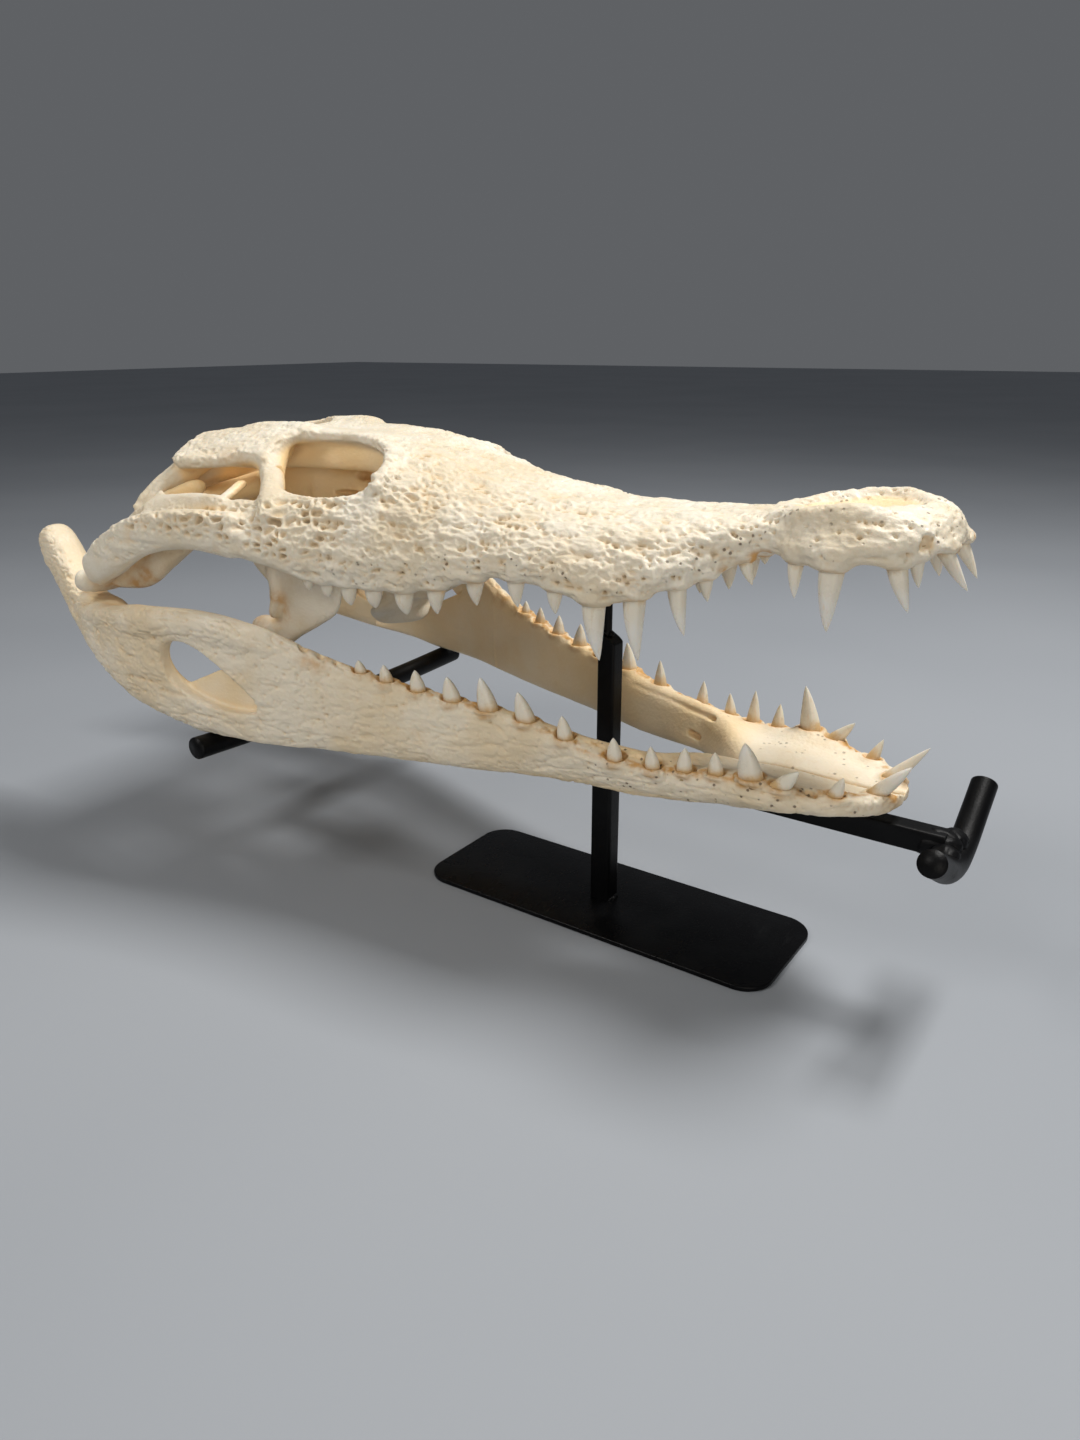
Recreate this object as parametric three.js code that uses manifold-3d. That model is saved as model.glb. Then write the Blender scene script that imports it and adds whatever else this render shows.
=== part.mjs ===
// Crocodile skull, jaws open, on its welded steel display stand.
// Millimetres. +Z is up, +X points to the snout and +Y to the animal's left.
// The origin is the middle of the underside of the base plate.

import * as THREE from "three";
import * as BufferGeometryUtils from "three/addons/utils/BufferGeometryUtils.js";
import Module from "manifold-3d";

const wasm = await Module();
wasm.setup();

// ---------------------------------------------------------------- driving sizes

const TABLE_REAR_X = -171;        // rear edge of the skull table
const CUT = 0.35;                 // width of the cuts along the sutures
const GAP = 0.3;                  // clearance between pieces that touch

// Each curve below is a list of [x, value] knots along the length of the skull.
const cranium = {
  halfWidth: [[106, 5], [104, 11], [100, 17], [93, 21.5], [85, 24], [76, 24.5], [66, 21.5], [55, 18],
    [47, 20.5], [36, 29], [24, 35.5], [12, 38.5], [-15, 39.5], [-55, 45.5], [-90, 55], [-120, 62.5],
    [-150, 67], [-176, 67]],
  top: [[106, 142.5], [103, 148], [97, 151.5], [80, 154.5], [56, 148.6], [34, 146], [6, 144.8],
    [-18, 146.8], [-45, 151], [-69, 157], [-97, 160.8], [-125, 161.5], [-171, 156]],
  toothLine: [[106, 139.5], [96, 136.5], [85, 134], [70, 133.8], [57, 136.5], [45, 131], [28, 124.5],
    [13, 120.5], [-5, 123.8], [-20, 124.5], [-40, 119.5], [-58, 116.5], [-82, 117], [-105, 122],
    [-134, 126.5], [-176, 126]],
  palate: [[106, 141], [90, 139], [57, 139], [13, 127], [-55, 122], [-110, 120], [-176, 120]],
  crownY: [[106, 2], [98, 8], [85, 10.5], [58, 8], [38, 11], [10, 15], [-35, 17], [-62, 17], [-85, 15],
    [-102, 14], [-114, 17], [-125, 23], [-171, 26.5]],
  crownRise: [[106, -1], [60, -1], [-35, -0.7], [-75, 0.6], [-112, 3], [-125, 1.6], [-171, 0.6]],
  shoulderY: [[106, 3.8], [98, 15.5], [85, 20], [58, 14.5], [38, 22], [10, 31], [-35, 33], [-60, 36],
    [-80, 41], [-100, 47.5], [-120, 54], [-150, 59], [-176, 60]],
  shoulderZ: [[106, 142], [98, 146.5], [85, 149], [58, 145.5], [38, 142], [10, 138], [-35, 141.5],
    [-60, 145.5], [-80, 146.5], [-100, 143.5], [-120, 141], [-150, 137], [-176, 134]],
};

const orbit = { x: -96.5, y: 30, z: 153.5, tilt: 0.545, halfLength: 25.5, halfHeight: 17 };
const temporalWindow = { x: -140, y: 46, z: 146, tilt: 0.45, halfLength: 27, halfHeight: 12.5 };
const tableWindow = { x: -149, y: 13, halfLength: 9.5, halfWidth: 5.5, floor: 140, depth: 30 };
const naris = { x: 88, halfLength: 13, halfWidth: 9, floor: 146.5, depth: 20 };
const palateWindow = { front: -32, rear: -106, inner: 12, outer: 36, floor: 100, depth: 34 };
const rearOpening = { x: -163, y: 32, top: 152 };   // beside the table, above the quadrate
const shell = 4.6;                // wall of the roof and arches behind the snout
const snoutRearX = -80;           // cut behind the maxillae, where the snout becomes an open frame
const chamberFrontX = -75;        // front wall of the open space behind the snout
const PREMAXILLA_REAR_X = 59;
const RING_STEPS = 8;             // points on half a section of the skull
const REACH = 300;                // further than any piece, for cuts that run right through
const occipitalCondyle = { x: -180, z: 131, radius: 6 };

const jaw = {
  outer: [[98, 4], [96, 9], [91, 15], [84, 20], [74, 24], [62, 27.5], [54, 27], [42, 28.5], [30, 31.5],
    [18, 34], [0, 35.5], [-14, 37.5], [-40, 43.5], [-62, 49.5], [-85, 57], [-106, 64], [-128, 68.5],
    [-150, 70.5], [-176, 70], [-198, 67], [-215, 62], [-243, 55.5]],
  thickness: [[98, 4], [60, 14], [30, 12], [0, 10.5], [-40, 9], [-85, 7.6], [-110, 5.4], [-150, 5.6],
    [-176, 10], [-198, 18], [-214, 11], [-243, 6]],
  low: [[98, 66.5], [95, 64], [88, 61.8], [75, 60.3], [50, 60.1], [25, 58.8], [-130, 58.4], [-150, 60.5],
    [-172, 63], [-188, 67], [-204, 74.5], [-219, 84.5], [-233, 99], [-243, 112]],
  lean: [[98, 0], [60, 3], [40, 6], [18, 6], [0, 4.5], [-25, 1], [-50, 0], [-243, 0]],
  high: [[98, 69], [83, 70], [60, 72], [30, 70.5], [18, 71.5], [0, 75.5], [-14, 79], [-40, 82.5],
    [-65, 87], [-85, 93], [-107, 101.5], [-130, 104], [-165, 101.5], [-186, 98], [-204, 98.5],
    [-214, 102], [-227, 113], [-238, 121.5], [-243, 121.3]],
};
const JAW_SIDES = 10;             // points round a section of the lower jaw
const symphysis = { rear: 46, openRear: 34, floor: 66.5 };
const jawWindow = { x: -130, y: 66, z: 79, halfLength: 22, halfHeight: 8.5, tilt: 0.36 };
const jawJoint = { x: -203, y: 58, z: 104.6, radius: 5.6, tilt: 0.12 };
const dentaryRearX = -104;

// Teeth from the front backwards: x of the socket, inset from the outer face, length, width, forward lean.
const TOOTH_SUNK = 3;             // how far a root runs into the bone
const upperTeeth = [
  [104, 2.5, 10.5, 4.4, 0.38], [97.5, 3, 6.5, 3.4, 0.1], [93, 3.6, 12, 5, 0.3], [77, 3.5, 16, 6.2, -0.05],
  [66, 3, 9.5, 4.2, 0], [50, 3, 8, 3.8, 0.3], [41, 3.2, 7.5, 4.2, 0.1], [34.5, 3.4, 15, 5.2, 0.15],
  [24, 3.6, 19.5, 6.4, 0.08], [12, 3.8, 18, 7, 0.12], [-1, 3.5, 8, 4.6, 0], [-15, 3.5, 9, 4.6, 0.05],
  [-30, 3.6, 8, 4.8, 0], [-44, 3.8, 8.5, 5, -0.03], [-56, 4, 7.5, 4.8, 0.05], [-67, 4.2, 6.5, 4.6, 0],
  [-76, 4.4, 6.5, 4.4, 0], [-84, 4.6, 5, 4, 0], [-91, 5, 4.5, 3.6, 0.05],
];
const lowerTeeth = [
  [92, 7, 11, 4.4, 1.3], [83, 4.5, 6, 3.8, 0.7], [69, 3.6, 8, 4.4, 0.9], [60, 3.2, 11, 6.6, -0.15],
  [49, 3.2, 6.5, 4, 0], [39.5, 3.4, 7, 4.4, 0], [30, 3.4, 6.5, 4.2, -0.1], [18, 3.6, 7, 4.4, 0],
  [0.5, 4, 7, 4.4, 0], [-13.5, 4.2, 9.5, 5, -0.1], [-26.5, 4.2, 10.5, 5.4, -0.1], [-39, 4.3, 7.5, 5, 0],
  [-51, 4.4, 6.5, 4.6, 0.05], [-62, 4.5, 5.5, 4.2, 0], [-71, 4.6, 4, 3.8, 0],
];

const base = { length: 137.5, width: 48.6, thickness: 1.8, cornerRadius: 10 };
const post = { x: -2.2, side: 6, top: 101.5, chamfer: 3 };
const rod = { radius: 1.5, top: 128, setBack: 1.2, socket: 2.2 };
const bar = { side: 6, z: 56.4, front: 110.3, rear: -128 };
const cradleRadius = 3.3;
const frontCradle = { x: 113.9, halfWidth: 27.5, low: 52.5, tip: 64.5 };
const rearCradle = { x: -131.6, halfWidth: 72.5, low: 52.8, tip: 55 };

// ---------------------------------------------------------------- curves and solids

// Smooth value at x of a curve given by [x, value] knots, without overshoot between them.
function at(knots, x) {
  const k = knots[0][0] > knots[knots.length - 1][0] ? knots.slice().reverse() : knots;
  const last = k.length - 1;
  if (x <= k[0][0]) return k[0][1];
  if (x >= k[last][0]) return k[last][1];
  const slope = (i) => (k[i + 1][1] - k[i][1]) / (k[i + 1][0] - k[i][0]);
  const tangent = (i) => {
    if (i === 0) return slope(0);
    if (i === last) return slope(last - 1);
    const before = slope(i - 1);
    const after = slope(i);
    return before * after <= 0 ? 0 : (2 * before * after) / (before + after);
  };
  let i = 0;
  while (x > k[i + 1][0]) i += 1;
  const span = k[i + 1][0] - k[i][0];
  const t = (x - k[i][0]) / span;
  const t2 = t * t;
  const t3 = t2 * t;
  return (2 * t3 - 3 * t2 + 1) * k[i][1] + (t3 - 2 * t2 + t) * span * tangent(i)
    + (3 * t2 - 2 * t3) * k[i + 1][1] + (t3 - t2) * span * tangent(i + 1);
}

// A manifold solid from any closed three.js geometry, turned the right way out.
function solid(geometry) {
  const bare = geometry.index ? geometry.clone() : geometry;
  bare.deleteAttribute("normal");
  bare.deleteAttribute("uv");
  const merged = BufferGeometryUtils.mergeVertices(bare, 1e-4);
  const vertProperties = new Float32Array(merged.attributes.position.array);
  const triVerts = new Uint32Array(merged.index.array);
  let volume = 0;
  const corner = [new THREE.Vector3(), new THREE.Vector3(), new THREE.Vector3()];
  for (let i = 0; i < triVerts.length; i += 3) {
    corner.forEach((v, j) => v.fromArray(vertProperties, 3 * triVerts[i + j]));
    volume += corner[0].dot(corner[1].clone().cross(corner[2]));
  }
  if (volume < 0) {
    for (let i = 0; i < triVerts.length; i += 3) {
      [triVerts[i + 1], triVerts[i + 2]] = [triVerts[i + 2], triVerts[i + 1]];
    }
  }
  return new wasm.Manifold(new wasm.Mesh({ numProp: 3, vertProperties, triVerts }));
}

// A closed skin over rings of points, all rings with the same count, capped at both ends.
function skin(rings) {
  const count = rings[0].length;
  const points = rings.flat();
  const middle = (ring) => ring.reduce((sum, p) => sum.add(p), new THREE.Vector3()).divideScalar(count);
  points.push(middle(rings[0]), middle(rings[rings.length - 1]));
  const index = [];
  for (let j = 0; j < count; j += 1) {
    const next = (j + 1) % count;
    for (let i = 0; i + 1 < rings.length; i += 1) {
      const a = i * count + j;
      const b = i * count + next;
      index.push(a, b, a + count, b, b + count, a + count);
    }
    const end = (rings.length - 1) * count;
    index.push(points.length - 2, next, j, points.length - 1, end + j, end + next);
  }
  const geometry = new THREE.BufferGeometry().setFromPoints(points);
  geometry.setIndex(index);
  return solid(geometry);
}

// Superellipse point on the unit circle's scale; a higher power gives a squarer section.
function superellipse(angle, power) {
  const bend = (v) => Math.sign(v) * Math.abs(v) ** (2 / power);
  return [bend(Math.cos(angle)), bend(Math.sin(angle))];
}

// A bar of bone along a smooth path. Each stop is [x, y, z, half width across, half height];
// grow adds to both, for a cutter that leaves room around the bar.
function bone(stops, steps, sides, grow = 0) {
  const path = new THREE.CatmullRomCurve3(stops.map((s) => new THREE.Vector3(s[0], s[1], s[2])));
  const rings = [];
  for (let i = 0; i <= steps; i += 1) {
    const t = i / steps;
    const place = t * (stops.length - 1);
    const k = Math.min(Math.floor(place), stops.length - 2);
    const mix = (column) => THREE.MathUtils.lerp(stops[k][column], stops[k + 1][column], place - k);
    const centre = path.getPoint(t);
    const along = path.getTangent(t);
    const side = new THREE.Vector3(-along.y, along.x, 0).normalize();
    const up = along.clone().cross(side).normalize();
    const ring = [];
    for (let j = 0; j < sides; j += 1) {
      const [a, b] = superellipse((2 * Math.PI * (j + 0.5)) / sides, 2.4);
      ring.push(centre.clone().addScaledVector(side, a * (mix(3) + grow))
        .addScaledVector(up, b * (mix(4) + grow)));
    }
    rings.push(ring);
  }
  return skin(rings);
}

// A box between two corners.
function block(x0, x1, y0, y1, z0, z1) {
  const geometry = new THREE.BoxGeometry(x1 - x0, y1 - y0, z1 - z0);
  geometry.translate((x0 + x1) / 2, (y0 + y1) / 2, (z0 + z1) / 2);
  return solid(geometry);
}

// An oval prism that cuts a window; its axis is turned from straight up by tilt towards the side.
function ovalWindow(w, side, reach) {
  const geometry = new THREE.CylinderGeometry(1, 1, 2 * reach, 16);
  geometry.rotateX(Math.PI / 2);
  geometry.scale(w.halfLength, w.halfHeight, 1);
  geometry.rotateX(-side * w.tilt);
  geometry.translate(w.x, side * w.y, w.z);
  return solid(geometry);
}

function join(parts) {
  return parts.reduce((all, part) => all.add(part));
}

// A curved cone for a tooth: root inside the bone, tip along dir, bowed towards the mouth.
function tooth(root, dir, length, width, bow) {
  const rings = [];
  const across = new THREE.Vector3(1, 0, 0).addScaledVector(dir, -dir.x).normalize();
  const deep = dir.clone().cross(across);
  const start = [-TOOTH_SUNK / length, 1];
  const profile = length < 9 ? [start, [1, 0.14]] : [start, [0.45, 0.8], [1, 0.12]];
  for (const [t, r] of profile) {
    const centre = root.clone().addScaledVector(dir, t * length).addScaledVector(bow, t * t * length);
    const ring = [];
    for (let j = 0; j < 5; j += 1) {
      const angle = (2 * Math.PI * j) / 5;
      ring.push(centre.clone().addScaledVector(across, Math.cos(angle) * r * width / 2)
        .addScaledVector(deep, Math.sin(angle) * r * width / 2));
    }
    rings.push(ring);
  }
  return skin(rings);
}

// ---------------------------------------------------------------- cranium

// Half of the outer section at x, from the middle of the roof round to the middle of the palate.
function craniumRing(x) {
  const c = (name) => at(cranium[name], x);
  const width = c("halfWidth");
  const low = c("toothLine");
  const top = c("top");
  const wide = low + 0.3 * (c("shoulderZ") - low);
  const control = [
    new THREE.Vector3(x, 0, top),
    new THREE.Vector3(x, c("crownY"), top + c("crownRise")),
    new THREE.Vector3(x, c("shoulderY"), c("shoulderZ")),
    new THREE.Vector3(x, width, wide),
    new THREE.Vector3(x, width - Math.min(2.2, 0.2 * width), low),
    new THREE.Vector3(x, width - Math.min(9, 0.4 * width), low + 0.7),
    new THREE.Vector3(x, 0, c("palate")),
  ];
  const half = new THREE.CatmullRomCurve3(control, false, "centripetal").getPoints(RING_STEPS);
  const mirrored = half.slice(1, -1).reverse().map((p) => new THREE.Vector3(p.x, -p.y, p.z));
  return half.concat(mirrored);
}

// Stations along the skull, closer together where the outline bends fast.
const craniumStations = [106, 104.8, 102, 97, 89, 80, 69, 60, 53, 46, 37, 27, 15, -1, -20, -41, -62,
  -82, -99, -116, -134, -152, -171];

// The open space under the roof and inside the arches; margin shrinks it on every side, and
// rear and floor say how far it runs on past the table and below the arches.
function chamber(margin = 0, rear = TABLE_REAR_X - 6, floor = 90) {
  const wallThickness = shell + margin;
  const rings = [];
  for (const x of [chamberFrontX - margin, -90, -106, -124, -150, TABLE_REAR_X - 5, rear]) {
    const roof = at(cranium.top, x) - wallThickness;
    const crown = at(cranium.crownY, x);
    const shoulder = at(cranium.shoulderY, x) - wallThickness;
    const wall = at(cranium.halfWidth, x) - wallThickness;
    const slope = at(cranium.shoulderZ, x) - wallThickness - 1;
    rings.push([[0, roof], [crown, roof], [shoulder, slope], [wall, slope - 10], [wall, floor], [0, floor],
      [-wall, floor], [-wall, slope - 10], [-shoulder, slope], [-crown, roof]]
      .map(([y, z]) => new THREE.Vector3(x, y, z)));
  }
  return skin(rings);
}

function upperTeethSolids(side) {
  return upperTeeth.map(([x, inset, length, width, lean]) => {
    const y = at(cranium.halfWidth, x) - inset - 0.9;
    const z = at(cranium.toothLine, x) + 0.4;
    const dir = new THREE.Vector3(lean, side * 0.1, -1).normalize();
    const bow = new THREE.Vector3(0, -side * 0.12, 0);
    return tooth(new THREE.Vector3(x, side * y, z), dir, length, width, bow);
  });
}

// Arch below the rear window, running back and down to the jaw joint.
function temporalBar(side, grow = 0) {
  return bone([
    [-112, side * 58.3, 131, 3.4, 8], [-134, side * 63.5, 132, 3.6, 6.6], [-158, side * 66, 127.5, 3.8, 6.6],
    [-178, side * 65.5, 118, 4.6, 7.4], [-194, side * 64, 110.5, 4.6, 6],
  ], 7, 8, grow);
}

// Quadrate: broad plate from the braincase out to the jaw joint, with its condyle across the end.
function quadrate(side) {
  const plate = bone([
    [-150, side * 17, 141, 9, 4.5], [-172, side * 33, 133, 11, 3.6], [-189, side * 49, 119, 11, 3.4],
    [-202, side * 57, 107.5, 10, 4],
  ], 6, 8);
  const condyle = bone([[-203, side * 46, 103.6, 3.8, 3.8], [-203.5, side * 57, 104.2, 4.6, 4.6],
    [-202, side * 68, 106.5, 3.6, 3.6]], 4, 8);
  return plate.add(condyle);
}

// Squamosal corner of the table, running down as the paroccipital process.
function squamosal(side, grow = 0) {
  return bone([
    [-150, side * 25, 153, 5, 3.6], [-165, side * 27, 151.5, 5, 4.6], [-174, side * 34, 144, 5, 5.5],
    [-180, side * 42, 133, 4.5, 5.5], [-183, side * 46.5, 126, 3, 4],
  ], 6, 8, grow);
}

// Braincase under the table, with the ball of the neck joint at its back.
function braincase(grow = 0) {
  const rings = [];
  const sides = 12;
  for (const [x, wide, low, high] of [[-128, 5, 138, 156], [-142, 10, 131, 156], [-158, 12.5, 125, 154],
    [-174, 15, 124, 152], [-177, 12, 126, 149]]) {
    const ring = [];
    for (let j = 0; j < sides; j += 1) {
      const [a, b] = superellipse((2 * Math.PI * (j + 0.5)) / sides, 3);
      ring.push(new THREE.Vector3(x, a * (wide + grow), (low + high) / 2 + b * ((high - low) / 2 + grow)));
    }
    rings.push(ring);
  }
  const ball = new THREE.SphereGeometry(occipitalCondyle.radius + grow, 10, 7);
  ball.translate(occipitalCondyle.x, 0, occipitalCondyle.z);
  return skin(rings).add(solid(ball));
}

// Postorbital column between the eye socket and the rear window.
const postorbitalStops = [[-129, 20, 159.5, 6, 5], [-122, 31, 153.5, 4.6, 4.6], [-115, 42, 146.5, 4.4, 4.4],
  [-110, 54, 139, 6.5, 5]];

function postorbitalColumn(side, grow = 0) {
  return bone(postorbitalStops.map(([x, y, z, a, b]) => [x, side * y, z, a, b]), 6, 8, grow);
}

// Narrow bar of the palatines between the palate windows, spreading into the pterygoids.
function palatineBar() {
  return bone([
    [-60, 0, 124, 12, 4], [-80, 0, 122, 10, 3.4], [-105, 0, 119.5, 10, 3], [-130, 0, 117.5, 19, 2.6],
    [-150, 0, 118, 21, 2.6], [-163, 0, 122, 13, 3.4],
  ], 8, 8);
}

// Pterygoid wing: from the midline out and down to the thick rear flange.
function pterygoidWing(side) {
  return bone([
    [-138, side * 8, 117.5, 11, 2.4], [-136, side * 22, 109, 12, 2], [-133, side * 32, 97, 12, 2],
    [-132, side * 38, 84, 14, 3], [-132, side * 40, 76.5, 9, 2.6],
  ], 6, 8);
}

// Ectopterygoid: plate from the jugal and the last teeth back and down to the edge of the wing.
function ectopterygoid(side) {
  const rings = [];
  for (const [front, rear, y, z, thick] of [[-80, -120, 43, 124, 3.2], [-84, -121, 41.6, 113, 2.2],
    [-96, -123, 41.5, 102, 2], [-108, -130, 40.5, 92, 2], [-117, -140, 40, 84, 2.2]]) {
    const ring = [];
    for (let j = 0; j < 8; j += 1) {
      const [a, b] = superellipse((2 * Math.PI * (j + 0.5)) / 8, 2.6);
      ring.push(new THREE.Vector3((front + rear) / 2 + a * (front - rear) / 2, side * (y + b * thick), z));
    }
    rings.push(ring);
  }
  return skin(rings);
}

function palateWindowTool(side) {
  const { front, rear, inner, outer, floor, depth } = palateWindow;
  const outline = new THREE.Shape();
  outline.ellipse((front + rear) / 2, side * (inner + outer) / 2, (front - rear) / 2, (outer - inner) / 2,
    0, 2 * Math.PI);
  const geometry = new THREE.ExtrudeGeometry(outline, { depth, bevelEnabled: false, curveSegments: 8 });
  geometry.translate(0, 0, floor);
  return solid(geometry);
}

// An upright oval hole at y, used for the table windows and the nostril opening.
function pit(w, y) {
  const geometry = new THREE.CylinderGeometry(1, 0.75, w.depth, 12);
  geometry.rotateX(Math.PI / 2);
  geometry.scale(w.halfLength, w.halfWidth, 1);
  geometry.translate(w.x, y, w.floor + w.depth / 2);
  return solid(geometry);
}

// A thin blade square across a bar of bone that runs from one stop to another.
function blade(from, to, reach) {
  const start = new THREE.Vector3(...from);
  const end = new THREE.Vector3(...to);
  const geometry = new THREE.BoxGeometry(reach, reach, CUT);
  const turn = new THREE.Quaternion().setFromUnitVectors(
    new THREE.Vector3(0, 0, 1), end.clone().sub(start).normalize());
  geometry.applyQuaternion(turn);
  const middle = start.add(end).multiplyScalar(0.5);
  geometry.translate(middle.x, middle.y, middle.z);
  return solid(geometry);
}

// The snout and the frame of roof and arches behind it, whole, with every window cut.
function wholeFrame() {
  let body = skin(craniumStations.map(craniumRing)).subtract(chamber());
  const cuts = [pit(naris, 0)];
  const bars = [];
  const { x, y, top } = rearOpening;
  for (const side of [1, -1]) {
    cuts.push(ovalWindow(temporalWindow, side, 22), ovalWindow(orbit, side, 20), palateWindowTool(side));
    cuts.push(block(-REACH, x, side > 0 ? y : -REACH, side > 0 ? REACH : -y, 0, top));
    bars.push(postorbitalColumn(side), squamosal(side), temporalBar(side), ...upperTeethSolids(side));
  }
  body = join([body.subtract(join(cuts)), ...bars]);
  for (const side of [1, -1]) {
    body = body.subtract(pit(tableWindow, side * tableWindow.y));
  }
  const rodX = post.x - rod.setBack;
  const { socket } = rod;
  return body.subtract(block(rodX - socket, rodX + socket, -socket, socket, 0, rod.top + GAP));
}

// The frame parted along its sutures by thin cuts.
function partFrame() {
  const cut = CUT / 2;
  const blades = [
    block(PREMAXILLA_REAR_X - cut, PREMAXILLA_REAR_X + cut, -REACH, REACH, 0, REACH),
    block(snoutRearX - cut, snoutRearX + cut, -REACH, REACH, 0, REACH),
    block(snoutRearX - cut / 2, PREMAXILLA_REAR_X + cut / 2, -cut, cut, 0, REACH),
  ];
  for (const side of [1, -1]) {
    const [above, below] = [1, 2].map((k) => postorbitalStops[k].slice(0, 3));
    blades.push(blade([above[0], side * above[1], above[2]], [below[0], side * below[1], below[2]], 13));
  }
  return wholeFrame().subtract(join(blades)).decompose();
}

// ---------------------------------------------------------------- lower jaw

function jawRing(side) {
  return (x) => {
    const outer = at(jaw.outer, x);
    const lean = at(jaw.lean, x);
    const low = at(jaw.low, x);
    const high = at(jaw.high, x);
    const opening = THREE.MathUtils.smoothstep(-x, -symphysis.rear, -symphysis.openRear);
    const inner = THREE.MathUtils.lerp(0, outer - at(jaw.thickness, x), opening);
    const dip = (1 - opening) * Math.max(0, Math.min(high, 70) - symphysis.floor);
    const ring = [];
    for (let j = 0; j < JAW_SIDES; j += 1) {
      const [a, b] = superellipse((2 * Math.PI * (j + 0.5)) / JAW_SIDES, 2.8);
      const y = Math.max((outer + inner) / 2 + a * (outer - inner) / 2 - lean * (1 - b) / 2, 0);
      const trough = b > 0 ? dip * THREE.MathUtils.smoothstep(-a, -0.3, 0.9) : 0;
      ring.push(new THREE.Vector3(x, side * y, (low + high) / 2 + b * (high - low) / 2 - trough));
    }
    return ring;
  };
}

const jawStations = [98, 95.5, 90, 81, 69, 57, 47, 42, 36, 24, 4, -18, -48, -78, -106, -130,
  -154, -174, -188, -199, -208, -219, -230, -239, -243];

function lowerTeethSolids(side) {
  return lowerTeeth.map(([x, inset, length, width, lean]) => {
    const y = at(jaw.outer, x) - inset;
    const z = at(jaw.high, x) - 0.5;
    const dir = new THREE.Vector3(lean, side * 0.08, 1).normalize();
    const bow = new THREE.Vector3(0, side * 0.05, 0);
    return tooth(new THREE.Vector3(x, side * y, z), dir, length, width, bow);
  });
}

// One side of the lower jaw, kept off the midline by half a cut, with its window and its joint hollow.
function ramus(side) {
  let body = skin(jawStations.map(jawRing(side)));
  const cutter = new THREE.CylinderGeometry(1, 1, 60, 20);
  cutter.scale(jawWindow.halfLength, 1, jawWindow.halfHeight);
  cutter.rotateY(jawWindow.tilt);
  cutter.translate(jawWindow.x, side * jawWindow.y, jawWindow.z);
  body = body.subtract(solid(cutter));
  const hollow = new THREE.CylinderGeometry(jawJoint.radius, jawJoint.radius, 40, 16);
  hollow.rotateX(side * jawJoint.tilt);
  hollow.translate(jawJoint.x, side * jawJoint.y, jawJoint.z);
  body = body.subtract(solid(hollow));
  body = join([body, ...lowerTeethSolids(side)]);
  const [low, high] = side > 0 ? [-REACH, CUT / 2] : [-CUT / 2, REACH];
  return body.subtract(block(-REACH, REACH, low, high, 0, REACH));
}

// ---------------------------------------------------------------- stand

function roundedPlate(length, width, radius, thickness) {
  const shape = new THREE.Shape();
  const x = length / 2 - radius;
  const y = width / 2 - radius;
  shape.absarc(x, y, radius, 0, Math.PI / 2);
  shape.absarc(-x, y, radius, Math.PI / 2, Math.PI);
  shape.absarc(-x, -y, radius, Math.PI, 1.5 * Math.PI);
  shape.absarc(x, -y, radius, 1.5 * Math.PI, 2 * Math.PI);
  return new THREE.ExtrudeGeometry(shape, { depth: thickness, bevelEnabled: false, curveSegments: 4 });
}

// Square post standing on the plate, its top edge cut back at a slant.
function postSolid() {
  const half = post.side / 2;
  const body = block(post.x - half, post.x + half, -half, half, base.thickness + GAP, post.top);
  const slant = new THREE.BoxGeometry(3 * post.side, 3 * post.side, post.chamfer * 2);
  slant.rotateY(0.75);
  slant.translate(post.x + half + 0.6, 0, post.top + 2);
  return body.subtract(solid(slant));
}

// Round rod bent to a shallow V across the stand.
function cradle({ x, halfWidth, low, tip }) {
  const flat = halfWidth * 0.18;
  const path = new THREE.CatmullRomCurve3([
    new THREE.Vector3(x, -halfWidth, tip), new THREE.Vector3(x, -flat * 1.8, low + 0.16 * (tip - low)),
    new THREE.Vector3(x, 0, low), new THREE.Vector3(x, flat * 1.8, low + 0.16 * (tip - low)),
    new THREE.Vector3(x, halfWidth, tip),
  ]);
  const outline = new THREE.Shape();
  outline.absarc(0, 0, cradleRadius, 0, 2 * Math.PI);
  return solid(new THREE.ExtrudeGeometry(outline, { steps: 8, extrudePath: path, curveSegments: 4 }));
}

// ---------------------------------------------------------------- assembly

const boneFinish = new THREE.MeshStandardMaterial({ color: 0xece3cf, roughness: 0.62, metalness: 0 });
const steelFinish = new THREE.MeshStandardMaterial({ color: 0x141414, roughness: 0.38, metalness: 0.2 });
const group = new THREE.Group();

function place(name, body, material) {
  const mesh = body.getMesh();
  const geometry = new THREE.BufferGeometry();
  geometry.setAttribute("position", new THREE.BufferAttribute(new Float32Array(mesh.vertProperties), 3));
  geometry.setIndex(new THREE.BufferAttribute(new Uint32Array(mesh.triVerts), 1));
  geometry.computeVertexNormals();
  const item = new THREE.Mesh(geometry, material);
  item.name = name;
  group.add(item);
}

// Each piece of the parted frame takes the name whose place is nearest to its middle.
const framePlaces = {
  premaxilla: [84, 0, 138], maxilla_right: [-10, -25, 132], maxilla_left: [-10, 25, 132],
  skull_roof: [-131, 0, 145], jugal_right: [-137, -59, 127], jugal_left: [-137, 59, 127],
};

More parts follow.
